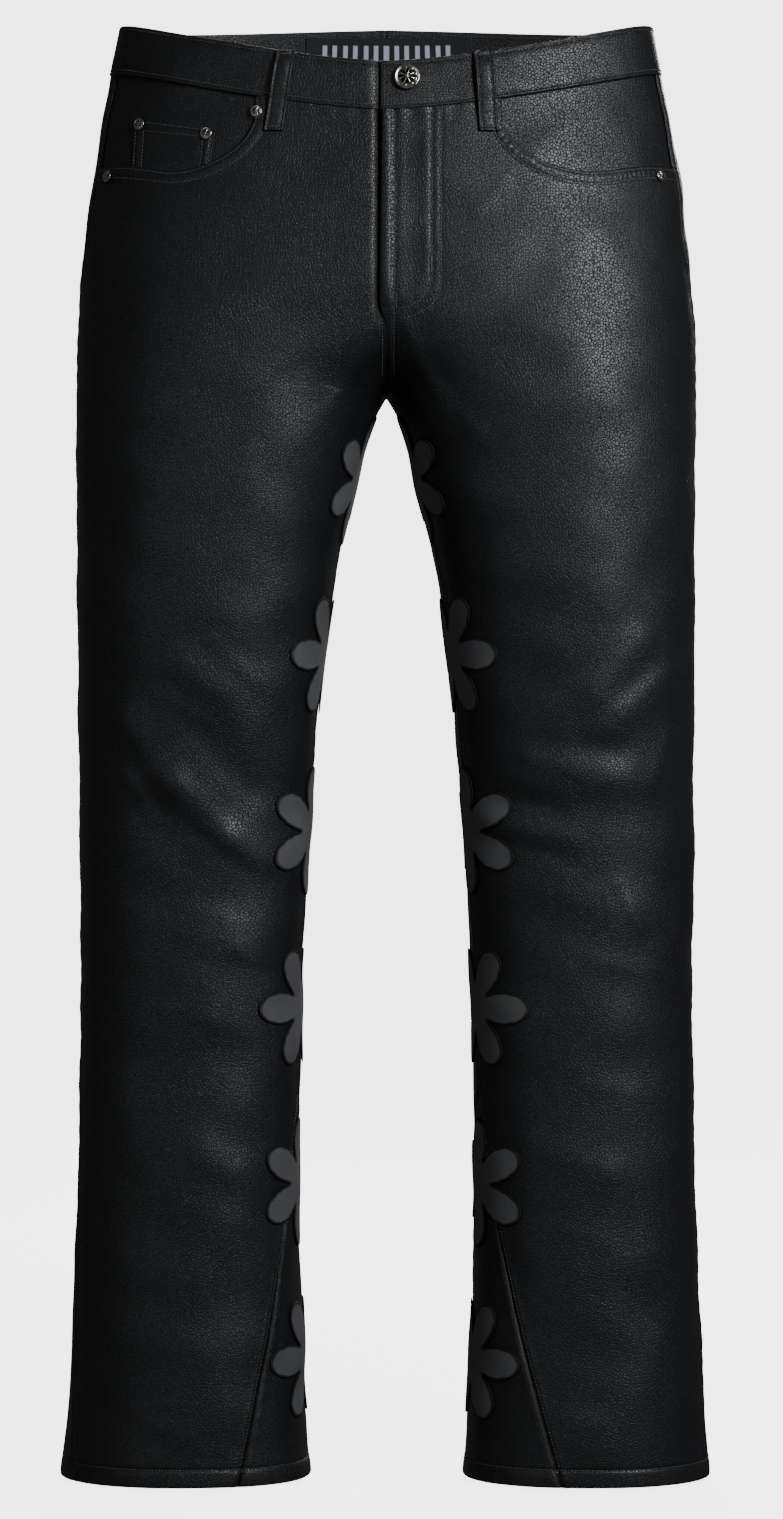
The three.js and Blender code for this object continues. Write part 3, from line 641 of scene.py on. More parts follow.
def pocketLine(side, step=1.1):
    # the pocket's edge from the band to the side seam: turns, levels, and the way square to it
    x0 = pocket[side]["x"]
    corner = pocket["low"] + pocket["rise"]
    first = np.linspace(float(waistSeam(turnAtX(x0, corner))) - 0.3, corner, 8)[:-1]
    start = float(turnAtX(x0, corner))
    end = float(column(seamPlaces, "side" + side, pocket["low"])) - 0.002
    turns = mix(start, end, np.linspace(0, 1, 160) ** 1.8)
    z = np.full(turns.shape, float(pocket["low"]))
    for _ in range(6):
        z = pocketEdge(side, np.maximum(bodyPoint(turns, z)[0], x0))
    turns, z = np.concatenate([turnAtX(x0, first), turns]), np.concatenate([first, z])
    across = np.concatenate([[0], np.cumsum(np.diff(turns) * speedAt((turns[1:] + turns[:-1]) / 2, z[1:]))])
    run = np.concatenate([[0], np.cumsum(np.hypot(np.diff(across), np.diff(z)))])
    along = np.linspace(0, run[-1], int(run[-1] / step))
    turns, z, across = (np.interp(along, run, v) for v in (turns, z, across))
    du, dz = np.gradient(across), np.gradient(z)
    length = np.hypot(du, dz)
    return turns, z, dz / length, -du / length, along


def besidePocket(side, inset):
    # the pocket's edge moved square to itself by inset, which may be a column of distances
    turns, z, du, dz, along = pocketLine(side)
    inset = np.asarray(inset, float)
    return turns + inset * du / speedAt(turns, z), z + inset * dz, along


stitchRow = {"edge": 1.6, "second": 8.6, "depth": 0.45, "width": 1.1}


def stitchDent(distance):
    return dent(distance, stitchRow["depth"], stitchRow["width"])


welt = {"from": -4.9, "width": 10.4, "height": 1.9, "ribs": 0.2, "ribPitch": 6.5, "seamRise": 0.9}
puff = {"besideWelt": 10.5, "height": 0.42, "width": 4.6, "toStitch": 4.4}


def insideFly(x, z):
    # 1 between the fly's rolled edge and its inner row of stitches, 0 outside
    p = flyStitch["inner"]
    low = np.clip((z - p["bendZ"]) / (p["endZ"] - p["bendZ"]), 0, 1)
    side = p["endX"] + (p["x"] - p["endX"]) * np.sqrt(1 - low**2)
    return (x > flyStitch["edgeX"]) & (x < side) & (z > p["endZ"])


def ribs(along, pitch, phase):
    # short gathers across a welt, of uneven length and depth
    depth = 0.6 + 0.4 * np.sin(along / 23 + phase)
    return depth * np.sin(2 * np.pi * along / pitch + 1.3 * np.sin(along / 11 + phase))


def frontRelief(side, x, z):
    # the fly's rolled edge, its padded face and rows of stitches, and the rise seam under it
    above = ramp(z, fly["bottom"] - 8, fly["bottom"] + 2)
    height = np.zeros_like(x)
    if side == "left":
        across = np.clip((x - welt["from"]) / welt["width"], 0, 1)
        roll = np.sin(np.pi * across) ** 0.7
        height += above * roll * (welt["height"] + welt["ribs"] * ribs(z - 0.9 * x, welt["ribPitch"], 0.4))
        height += above * stitchDent(x - flyStitch["edgeX"]) * 1.4
        inner = toPath(x, z, *flyPath("inner"))
        outer = toPath(x, z, *flyPath("outer"))
        height += stitchDent(inner) + stitchDent(outer)
        height += 0.2 * ramp(-np.maximum(inner, outer), -6.6, -5.2)
        swell = np.exp(-(((x - puff["besideWelt"]) / puff["width"]) ** 2))
        swell += np.exp(-(((inner - puff["toStitch"]) / puff["width"]) ** 2))
        height += np.where(insideFly(x, z), puff["height"] * swell * ramp(inner, 0, 3), 0)
    seamEdge = flyStitch["seamOut"] if side == "left" else -flyStitch["seamIn"]
    below = (1 - above) * ramp(z, body["crotch"] - 1, body["crotch"] + 14)
    height += below * welt["seamRise"] * (1 - ramp(x, seamEdge - 0.8, seamEdge + 0.5))
    height += below * stitchDent(x - seamEdge - 0.6)
    return height


# Fronts, backs and gussets
grid = {
    # distances of the columns beside a seam and of the rows under the waist seam, then counts
    "edge": np.array([0, 0.5, 1.1, 1.8, 2.6, 3.5, 4.5, 5.7, 7, 8.5, 10.4, 13]),
    "top": np.array([0, 0.5, 1.1, 1.8, 2.6, 3.6, 4.8, 6, 7.2, 8.3, 9.4, 10.6, 12, 14]),
    "legStep": 4.6,
    "hipRows": 34,
    "riseRows": 44,
    "hemRows": 9,
    "backColumns": 66,
}


def legRows():
    # levels from the crotch to the hem's stitches, and the hem's own
    top = body["hem"] + hem["turn"]
    count = int((body["crotch"] - top - 8) / grid["legStep"])
    leg = np.linspace(body["crotch"], top + 8, count)[1:]
    stitched = top + np.array([5.5, 3.5, 2, 1, 0, -1, -2, -3.5])
    return np.concatenate([leg, stitched, np.linspace(top - 5, body["hem"] + 0.6, grid["hemRows"])])


hemLoop = {"radius": 1.5, "back": 11.5, "rows": 9}


def hemTurnRows():
    # how far the turned hem goes below and behind its lower edge: a half circle, then up inside
    bend = np.linspace(0, np.pi, hemLoop["rows"])[1:]
    drop = -hemLoop["radius"] * np.sin(bend)
    behind = -hemLoop["radius"] * (1 - np.cos(bend))
    up = np.array([1.5, 4, 8, hemLoop["back"]])
    return np.concatenate([drop, up]), np.concatenate([behind, np.full(len(up), -2 * hemLoop["radius"])])


def hemLift(z):
    # proud between the stitches and the lower edge
    share = np.clip((body["hem"] + hem["turn"] - z) / hem["turn"], 0, 1)
    top = body["hem"] + hem["turn"]
    return hem["proud"] * np.sin(np.pi * share * 0.86) ** 0.5 + stitchDent(z - top) * 1.5


def edgesAt(edges, side, z, middle):
    # the same columns, for levels that differ from column to column
    start, end = edges(side, z)
    near = grid["edge"]
    count = len(near)
    startSpeed, endSpeed = speedAt(start + probe, z), speedAt(end - probe, z)
    share = np.pad(middle, (count, count))[None, :]
    turns = mix(start + near[-1] / startSpeed, end - near[-1] / endSpeed, share)
    turns[:, :count] = start[:, :count] + near / startSpeed[:, :count]
    turns[:, -count:] = end[:, -count:] - near[::-1] / endSpeed[:, -count:]
    return turns


def hemmed(side, turns, z, lift):
    # adds the rows that turn under the lower edge and up inside
    points = surface(side, turns, z, lift)[0]
    drop, behind = hemTurnRows()
    base, normal = surface(side, turns[-1], z[-1], lift[-1])
    under = base[None] + normal[None] * behind[:, None, None]
    under[..., 2] += drop[:, None]
    return np.concatenate([points, under])


def frontColumns(side):
    # shares of the middle columns, dense beside the fly
    level = -73.0
    start, end = frontEdges(side, level)
    innerStart = start + grid["edge"][-1] / speedAt(start + probe, level)
    innerEnd = end - grid["edge"][-1] / speedAt(end - probe, level)
    stitched = float((turnAtX(46.0, level) - innerStart) / (innerEnd - innerStart))
    beside = np.linspace(0, stitched, 26 if side == "left" else 10)[1:]
    return np.concatenate([beside, np.linspace(stitched, 1, 62)[1:-1]])


def levelsOf(tops, turnsFor):
    # one row of levels for each row of the panel, from the top edge to the hem
    rise, crotch = body["frontRiseTop"], body["crotch"]
    first = tops[None, :] - grid["top"][:, None]
    share = np.linspace(0, 1, grid["hipRows"])[1:, None]
    second = mix(first[-1:], rise, share)
    level = np.linspace(rise, crotch, grid["riseRows"])[1:]
    fan = mix(rise, crotch, np.sin(np.pi / 2 * (level - rise) / (crotch - rise)))
    turns = turnsFor(np.broadcast_to(level[:, None], (len(level), len(tops))))
    toEdge = np.minimum(turns, 1 - turns)
    third = mix(fan[:, None], level[:, None], ramp(toEdge, 0, body["seamShare"]))
    leg = np.broadcast_to(legRows()[:, None], (len(legRows()), len(tops)))
    return np.concatenate([first, second, third, leg])


def panelPlaces(edges, side, middle, level):
    # turns and levels of a panel's grid, and how far each place is from the panel's sides and its top.
    # level is about where the top edge is
    columns = len(middle) + 2 * len(grid["edge"])
    tops = waistSeam(edgesAt(edges, side, np.full((1, columns), level), middle)[0])
    z = levelsOf(tops, lambda levels: edgesAt(edges, side, levels, middle))
    turns = edgesAt(edges, side, z, middle)
    return turns, z, *fromSeams(edges, side, turns, z), tops[None, :] - z


def makeFront(side):
    turns, z, toStart, toEnd, toTop = panelPlaces(frontEdges, side, frontColumns(side), -60.0)
    x = bodyPoint(turns, z)[0]
    leg = 1 - ramp(z, body["crotch"] - 2, body["crotch"] + 2)
    lift = seamDip(toEnd) + puckerLift(toEnd, z, puckers["side"])
    lift += leg * (seamDip(toStart) + puckerLift(toStart, z, puckers["inseam"]))
    lift += frontRelief(side, x, z) + hemLift(z) + puckerLift(toTop, x, puckers["waist"]) * 1.3
    lift += leg * stitchDent(toStart - gusset["stitch"]) * ramp(-z, -gusset["top"] - 6, -gusset["top"] + 6)
    points = hemmed(side, turns, z, lift)
    opened = (x > pocket[side]["x"] - 0.4) & (z > pocketEdge(side, x) - 0.6)
    kept = np.ones((points.shape[0] - 1, points.shape[1] - 1), bool)
    kept[:len(z) - 1] = ~(opened[:-1, :-1] | opened[1:, :-1] | opened[:-1, 1:] | opened[1:, 1:])
    piece = gridPiece(f"front_{side}_leather", side, points, black, body["wall"], kept)
    finishCloth(piece, f"front_{side}", points)


def makeBack(side):
    middle = np.linspace(0, 1, grid["backColumns"])[1:-1]
    turns, z, toStart, toEnd, toTop = panelPlaces(backEdges, side, middle, -40.0)
    x = bodyPoint(turns, z)[0]
    lift = seamDip(toEnd) + puckerLift(toEnd, z, puckers["inseam"])
    lift += seamDip(toStart) + puckerLift(toStart, z, puckers["side"])
    lift += puckerLift(toTop, x, puckers["waist"]) * 1.3 + hemLift(z)
    points = hemmed(side, turns, z, lift)
    piece = gridPiece(f"back_{side}_leather", side, points, black, body["wall"])
    finishCloth(piece, f"back_{side}", points)


def makeGusset(side):
    levels = legRows()
    levels = np.concatenate([[gusset["top"] - 0.2], levels[levels < gusset["top"] - 2]])
    across = np.linspace(-1, 1, 49)
    z = np.broadcast_to(levels[:, None], (len(levels), len(across)))
    seam = column(seamPlaces, "in" + side, z)
    half = gussetHalf(z)
    turns = seam + half * across
    speed = speedAt(seam, z)
    toEdge = half * (1 - np.abs(across)) * speed
    lift = seamDip(toEdge) * ramp(half * speed, 3, 12)
    lift += puckerLift(toEdge, z, puckers["inseam"]) + hemLift(z)
    points = hemmed(side, turns, z, lift)
    piece = gridPiece(f"gusset_{side}_leather", side, points, black, body["wall"])
    finishCloth(piece, f"gusset_{side}", points)


for side in signs:
    makeFront(side)
    makeBack(side)
    makeGusset(side)
print("fronts, backs and gussets made")


# Slabs with round edges, laid on the body
def roundEdge(distance, half):
    # a quarter circle over the last half thickness: half * sqrt(1 - (1 - d / half)^2)
    f = np.clip(distance / half, 0, 1)
    return half * np.sqrt(1 - (1 - f) ** 2)


def mergeDoubles(piece):
    work = bmesh.new()
    work.from_mesh(piece.data)
    bmesh.ops.remove_doubles(work, verts=work.verts, dist=2e-6)
    work.to_mesh(piece.data)
    work.free()


def slab(name, side, turns, z, toEdge, middle, half, material,
         relief=0.0, attributes=None, closed=False):
    # outer and inner faces half a wall either side of the middle, meeting at the edge
    swell = roundEdge(toEdge, half)
    outer = surface(side, turns, z, middle + swell + relief * np.clip(toEdge / half, 0, 1))[0]
    inner = surface(side, turns, z, middle - swell)[0]
    flipped = side == "right"
    rows, columns = turns.shape
    outerFaces = gridFaces(rows, columns, flipped, closedColumns=closed)
    innerFaces = gridFaces(rows, columns, not flipped, closedColumns=closed) + rows * columns
    doubled = {label: np.concatenate([v, v]) for label, v in (attributes or {}).items()}
    faces = np.concatenate([outerFaces, innerFaces])
    piece = putMesh(name, np.concatenate([outer, inner]), faces, material, doubled)
    mergeDoubles(piece)
    return piece, outer


def edged(length, step, near=(0, 0.25, 0.6, 1.1, 1.7, 2.3, 2.8, 3.3, 4)):
    # distances along a length, dense near both ends
    near = np.array(near)
    count = max(2, int((length - 2 * near[-1]) / step))
    middle = np.linspace(near[-1], length - near[-1], count)
    return np.concatenate([near[:-1], middle, length - near[-2::-1]])


def runOf(points):
    # length along a line of points, up to each of them
    return np.concatenate([[0], np.cumsum(np.linalg.norm(np.diff(points, axis=0), axis=1))])


def arcTurns(side, start, end, z, step):
    # turns spaced by length along a level, dense near both ends, and how far along each is
    dense = np.linspace(start, end, 900)
    run = runOf(surface(side, dense, z)[0])
    along = edged(run[-1], step)
    return np.interp(along, run, dense), along


# Waistband
band = {"level": -20.0, "length": 460, "stitch": 2.9, "step": 4.0, "pipe": 0.5, "overSeam": 0.9}


def makeWaistband(side):
    start = waist["lap"] if side == "left" else 0.0
    turns, along = arcTurns(side, start, 1.0, band["level"], band["step"])
    toEnd = np.minimum(along, along[-1] - along)
    height = waist["height"] + band["overSeam"]
    down = edged(height, 2.6)
    turns, down = np.meshgrid(turns, down)
    toSide = np.minimum(down, height - down)
    z = bandTop(turns) - down
    toEdge = np.minimum(toSide, toEnd[None, :])
    relief = stitchDent(toSide - band["stitch"]) * 1.3
    relief += band["pipe"] * np.exp(-(((waist["height"] - down - 1.2) / 1.1) ** 2))
    relief += puckerLift(toSide, turns * band["length"], 0.5) * 1.2
    piece, points = slab(f"waistband_{side}_leather", side, turns, z, toEdge,
                         waist["proud"] - waist["wall"] / 2, waist["wall"] / 2, black, relief)
    finishCloth(piece, f"waistband_{side}", points)


# The stitched welts along the pockets' edges
pocketWelt = {
    # distance from the edge into the front, and lift: round the edge from inside, and back below
    "profile": [
        (1.6, -1.62), (0.6, -1.6), (-0.2, -1.35), (-0.6, -0.8), (-0.5, -0.15), (0, 0.28), (0.7, 0.45),
        (1.2, 0.4), (1.6, 0.2), (2.0, 0.42), (2.8, 0.68), (3.8, 0.82), (5, 0.88), (6.2, 0.8),
        (7.4, 0.6), (8.2, 0.42), (8.6, 0.2), (9.0, 0.3), (9.8, 0.1), (10.8, -0.25), (8, -0.9), (3, -1.0),
    ],
    "ribMiddle": 5,
    "ribReach": 3,
    "ribs": 0.24,
    "ribPitch": 4.6,
}


def closeHoles(piece):
    # a face over every open ring, then all faces turned outwards
    work = bmesh.new()
    work.from_mesh(piece.data)
    rims = [edge for edge in work.edges if edge.is_boundary]
    bmesh.ops.holes_fill(work, edges=rims, sides=400)
    bmesh.ops.recalc_face_normals(work, faces=work.faces)
    for face in work.faces:
        face.smooth = True
    work.to_mesh(piece.data)
    work.free()


def makePocketWelt(side):
    # the profile carried along the pocket's edge, with short gathers across its raised middle
    inset, lift = (np.array(v)[:, None] for v in zip(*pocketWelt["profile"]))
    turns, z, along = besidePocket(side, inset)
    raised = np.exp(-(((inset - pocketWelt["ribMiddle"]) / pocketWelt["ribReach"]) ** 4)) * (lift > 0)
    lift = lift + raised * pocketWelt["ribs"] * ribs(along, pocketWelt["ribPitch"], 1.1)[None, :]
    points = surface(side, turns, z, lift)[0]
    rows, columns = turns.shape
    faces = gridFaces(rows, columns, side == "right", closedRows=True)
    piece = putMesh(f"pocket_welt_{side}_leather", points, faces, black)
    closeHoles(piece)
    attach(piece)


# Pocket bearers and the watch pocket
bearer = {"lift": -2.45, "half": 0.6, "before": 13, "above": 9, "below": 13, "sideTurn": 0.452,
          "tall": 60, "wide": 120}
watch = {
    # top inner, top outer, low outer and low inner corner
    "corners": [(127.5, -87.5), (190, -75), (192.6, -118), (131.9, -117)],
    "width": 57.0,
    "height": 36.0,
    "lift": -1.25,
    "half": 0.6,
    "stitches": [1.8, 7.4],
}


def makeBearer(side):
    start = turnAtX(pocket[side]["x"] - bearer["before"], -75.0)
    across = np.linspace(0, 1, 60)
    turns = mix(start, bearer["sideTurn"], across)
    top = waistSeam(turns) + bearer["above"]
    x = bodyPoint(turns, -100.0)[0]
    low = pocketEdge(side, np.maximum(x, pocket[side]["x"] + 0.5)) - bearer["below"]
    down = np.linspace(0, 1, 30)[:, None]
    z = mix(top[None, :], low[None, :], down)
    turns = mix(start, column(seamPlaces, "side" + side, z), across[None, :])
    toSide = np.minimum(across, 1 - across)[None, :] * bearer["wide"]
    toEdge = np.minimum(np.minimum(down, 1 - down) * bearer["tall"], toSide)
    piece, points = slab(f"pocket_bearer_{side}_leather", side, turns, z, toEdge,
                         bearer["lift"], bearer["half"], black)
    finishCloth(piece, f"pocket_bearer_{side}", points)


def watchPlaces(u, v):
    # a point of the watch pocket: shares of its width and height between its four corners
    (ax, az), (bx, bz), (cx, cz), (dx, dz) = watch["corners"]
    x = mix(mix(ax, bx, u), mix(dx, cx, u), v)
    z = mix(mix(az, bz, u), mix(dz, cz, u), v)
    return turnAtX(x, z), z


def watchSink(v):
    # it runs down under the pocket's edge
    return -1.1 * ramp(v, 0.84, 0.97)


def makeWatchPocket():
    width, height = watch["width"], watch["height"]
    along, drop = np.meshgrid(edged(width, 1.6), edged(height, 1.6))
    turns, z = watchPlaces(along / width, drop / height)
    toSide = np.minimum(along, width - along)
    toEdge = np.minimum(toSide, drop)
    relief = sum(stitchDent(toSide - s) + stitchDent(drop - s) for s in watch["stitches"])
    relief += 0.5 * np.exp(-(((toEdge - 4.6) / 2.6) ** 4)) + watchSink(drop / height)
    piece, points = slab("watch_pocket_leather", "right", turns, z, np.minimum(toEdge, height - drop),
                         watch["lift"], watch["half"], black, relief)
    finishCloth(piece, "watch_pocket", points)


# Belt loops
beltLoops = {
    "belt_loop_front_right": {"side": "right", "x": 74, "lean": 5.5},
    "belt_loop_front_left": {"side": "left", "x": 71.5, "lean": 0.5},
    "belt_loop_side_right": {"side": "right", "turn": 0.66, "lean": 0},
    "belt_loop_side_left": {"side": "left", "turn": 0.66, "lean": 0},
    "belt_loop_back": {"side": "left", "turn": 1.0, "lean": 0},
}
loop = {
    "width": 14.5,
    "length": 60.5,
    "half": 1.05,
    "down": [0, 5, 10, 18, 28, 38, 48, 60.5],
    "lift": [1.5, 1.8, 3.6, 4.0, 3.6, 1.8, 0.8, 0.7],
    "stitch": 2.5,
    "tack": 3.2,
}


def loopPlaces(plan, across, down):
    turn = plan["turn"] if "turn" in plan else float(turnAtX(plan["x"], -30.0))
    z = bandTop(turn) - down
    return turn + (across + plan["lean"] * down / 60) / speedAt(turn, z), z


def loopLift(down):
    return np.interp(down, loop["down"], loop["lift"]) + loop["half"]


def makeBeltLoop(name, plan):
    across, down = np.meshgrid(edged(loop["width"], 1.4), edged(loop["length"], 1.7))
    turns, z = loopPlaces(plan, across - loop["width"] / 2, down)
    toSide = np.minimum(across, loop["width"] - across)
    toEdge = np.minimum(toSide, np.minimum(down, loop["length"] - down))
    relief = stitchDent(toSide - loop["stitch"]) * 1.3 + 0.35 * np.exp(-(((toSide - 1.2) / 1.0) ** 2))
    relief += stitchDent(down - loop["tack"]) + stitchDent(loop["length"] - down - loop["tack"])
    piece, points = slab(name + "_leather", plan["side"], turns, z, toEdge,
                         loopLift(down), loop["half"], black, relief)
    finishCloth(piece, name, points)


# Flowers round the inseams
flowers = {"count": 6, "first": -345, "pitch": 133, "radius": 49, "eye": 17, "petals": 6, "steps": 216,
           "lift": 0.9, "half": 0.55, "rimFrom": 1.5, "rimTo": 2.1}


def flowerOutline(angle, turned):
    # round petals between sharp notches: eye + (radius - eye) * |cos(petals / 2 * angle)|^0.75
    petal = np.abs(np.cos(flowers["petals"] / 2 * (angle + turned)))
    return flowers["eye"] + (flowers["radius"] - flowers["eye"]) * petal**0.75


def makeFlower(side, index):
    level = flowers["first"] - flowers["pitch"] * index
    turned = np.pi / flowers["petals"] if index % 2 else 0.0
    angle = np.linspace(0, 2 * np.pi, flowers["steps"], endpoint=False) + np.pi / flowers["steps"]
    share = np.array([0.02, 0.12, 0.24, 0.38, 0.52, 0.66, 0.78, 0.87, 0.93, 0.965, 0.985, 1])
    angle, share = np.meshgrid(angle, share)
    radius = flowerOutline(angle, turned) * share
    reach = 0.06
    ax, ay = bodyPoint(reach, level)[:2]
    bx, by = bodyPoint(0.0, level)[:2]
    length = np.hypot(ax - bx, ay - by) / reach
    turns = column(seamPlaces, "in" + side, level) + radius * np.sin(angle) / length
    z = level + radius * np.cos(angle)
    rim = flowerOutline(angle[0], turned)
    rimX, rimZ = rim * np.sin(angle[0]), rim * np.cos(angle[0])
    toEdge = toPath(radius * np.sin(angle), radius * np.cos(angle),
                    np.append(rimX, rimX[0]), np.append(rimZ, rimZ[0]))
    toEdge[-1] = 0
    edge = 1 - ramp(toEdge, flowers["rimFrom"], flowers["rimTo"])
    turns, z, toEdge, edge = (v[::-1, ::-1] for v in (turns, z, toEdge, edge))
    name = f"flower_{side}_{index + 1}"
    piece = slab(name + "_leather", side, turns, z, toEdge, flowers["lift"], flowers["half"], grey,
                 attributes={"edge": edge}, closed=True)[0]
    closeHoles(piece)
    attach(piece, name)


# Label inside the back of the band
label = {"level": -10.0, "halfTurn": 0.176, "top": 6, "bottom": 30, "lift": -2.35, "half": 0.3,
         "bars": 13, "barWidth": 3.6, "barTop": 5, "barBottom": 18, "margin": 11}


def makeLabel():
    turns, across = arcTurns("left", 1 - label["halfTurn"], 1 + label["halfTurn"], label["level"], 0.7)
    toEnd = np.minimum(across, across[-1] - across)
    height = label["bottom"] - label["top"]
    turns, drop = np.meshgrid(turns, edged(height, 0.9))
    z = float(bandTop(1.0)) - label["top"] - drop
    toEdge = np.minimum(np.minimum(drop, height - drop), toEnd[None, :])
    pitch = (across[-1] - 2 * label["margin"]) / label["bars"]
    place = (across - label["margin"]) / pitch
    inBar = np.abs(place - np.floor(place) - 0.5) * pitch < label["barWidth"] / 2
    inBar &= (place > 0) & (place < label["bars"])
    bar = inBar[None, :] & (drop > label["barTop"]) & (drop < label["barBottom"])
    piece, points = slab("label_tape", "left", turns, z, toEdge, label["lift"], label["half"], weave,
                         attributes={"bar": bar.astype(float)})
    finishCloth(piece, "label", points)


# Button and rivets
rivet = {"radius": 4.5, "height": 2.1}
studs = {
    "rivet_watch_in": {"side": "right", "x": 134, "z": -90, "lift": 0.0, **rivet},
    "rivet_watch_out": {"side": "right", "x": 185, "z": -80, "lift": 0.0, **rivet},
    "rivet_pocket_right": {"side": "right", "x": 96.5, "z": -74.5, "lift": 0.8, **rivet},
    "rivet_side_right": {"side": "right", "x": 210, "z": -117.5, "lift": 0.7, **rivet},
    "rivet_side_left": {"side": "left", "x": 206, "z": -117.5, "lift": 0.7, **rivet},
    "button": {"side": "left", "x": 15.5, "z": -50, "lift": 1.3, "radius": 9.8, "height": 6.0},
}
studShape = {
    # share of the radius, share of the height, depth of the flutes, which also sets the painted shade in
    # them
    "profile": [
        (0.0, 0.96, 0), (0.1, 0.95, 0.1), (0.22, 0.93, 0.5), (0.36, 0.9, 1), (0.5, 0.84, 1),
        (0.62, 0.76, 0.8), (0.7, 0.66, 0.2), (0.745, 0.58, 0), (0.79, 0.6, 0), (0.86, 0.68, 0),
        (0.93, 0.66, 0), (0.985, 0.55, 0), (1.0, 0.42, 0), (0.96, 0.3, 0), (0.85, 0.26, 0),
        (0.5, 0.24, 0), (0.5, 0.0, 0), (0.0, 0.0, 0),
    ],
    "flutes": 8,
    "fluteDepth": 0.34,
    "fluteSharpness": 1.2,
    "paintedFluteShade": 2.2,
    "sides": 64,
}


def makeStud(name, plan):
    # a profile turned round the surface's normal, its dome fluted: each flute takes up to fluteDepth of the
    # height away where |sin(flutes / 2 * angle)| falls to 0
    turn = turnAtX(plan["x"], plan["z"])
    seat, normal = surface(plan["side"], turn, float(plan["z"]), plan["lift"])
    up = np.array([0, 0, 1.0])
    across = np.cross(up, normal)
    across /= np.linalg.norm(across)
    up = np.cross(normal, across)
    share, rise, flute = (np.array(v)[:, None] for v in zip(*studShape["profile"]))
    angle = np.linspace(0, 2 * np.pi, studShape["sides"], endpoint=False)[None, :]
    cut = 1 - np.abs(np.sin(studShape["flutes"] / 2 * angle)) ** studShape["fluteSharpness"]
    height = plan["height"] * (rise - flute * studShape["fluteDepth"] * cut)
    radius = plan["radius"] * share
    ways = ((height, normal), (radius * np.cos(angle), across), (radius * np.sin(angle), up))
    points = seat + sum(length[..., None] * way for length, way in ways)
    rows, columns = points.shape[:2]
    # dark is the share of painted shade in each flute, darkest where the flute is deepest; the metal
    # darkens towards its flute colour by it
    dark = np.clip(flute * cut * studShape["paintedFluteShade"], 0, 1)
    piece = putMesh(name + "_metal", points, gridFaces(rows, columns, closedColumns=True), metal,
                    {"flute": dark})
    mergeDoubles(piece)
    attach(piece, name)


# Stitches
stitch = {"pitch": 2.6, "length": 1.95, "radius": 0.38}
tack = {"pitch": 0.7, "length": 2.0, "radius": 0.42}
threadSides = 6


def stitchRowOn(side, turns, z, lift, size=stitch):
    # places, runs and normals of stitches spaced along a path
    points, normals = surface(side, turns, z, lift)
    run = runOf(points)
    at = np.arange(size["pitch"] / 2, run[-1], size["pitch"])
    centre, ahead, behind, normal = (
        np.stack([np.interp(at + step, run, values[:, i]) for i in range(3)], -1)
        for step, values in ((0, points), (0.6, points), (-0.6, points), (0, normals))
    )
    along = ahead - behind
    along /= np.linalg.norm(along, axis=1)[:, None]
    return centre, along, normal, size["length"], size["radius"]


def sewStitches(name, rows):
    # each stitch is a short round thread that dips at both ends: for u from -1 to 1 along it, rings of
    # radius r * (1 - u^2)^0.35, sunk by r * u^2 / 2. The axes are stitch, ring, side and coordinate.
    centre, along, normal = (np.concatenate([row[i] for row in rows])[:, None, None] for i in range(3))
    length, radius = (
        np.concatenate([np.full(len(row[0]), row[i]) for row in rows])[:, None, None, None] for i in (3, 4)
    )
    across = np.cross(normal, along)
    u = np.array([-0.97, -0.6, 0, 0.6, 0.97])[None, :, None, None]
    around = np.linspace(0, 2 * np.pi, threadSides, endpoint=False)[None, None, :, None]
    ring = np.sqrt(1 - u**2) ** 0.7 * radius
    spots = centre + along * (u * length / 2) - normal * (0.5 * u**2 * radius)
    spots = spots + (across * np.cos(around) + normal * np.sin(around)) * ring
    count, rings, sides = spots.shape[:3]
    one = gridFaces(rings, sides, closedColumns=True)
    quads = (one[None] + (np.arange(count) * rings * sides)[:, None, None]).reshape(-1, 4)
    piece = putMesh(name, spots, quads, thread)
    closeHoles(piece)
    attach(piece)


def bandRow(side, down, lift):
    start = waist["lap"] + 0.006 if side == "left" else 0.03
    turns = np.linspace(start, 0.998, 400)
    return stitchRowOn(side, turns, bandTop(turns) - down, lift)


def pathRow(side, x, z, lift, size=stitch):
    return stitchRowOn(side, turnAtX(x, z), np.asarray(z, float), lift, size)


def finer(values, count=160):
    # more points along a line, evenly between the ones it has
    return np.interp(np.linspace(0, len(values) - 1, count), np.arange(len(values)), values)


buttonhole = {"z": -51.5, "from": 20, "to": 35, "halfWidth": 0.95,
              "size": {"pitch": 0.75, "length": 1.5, "radius": 0.42}}
loopTack = {"pitch": 1.2, "length": 1.6, "radius": 0.4}


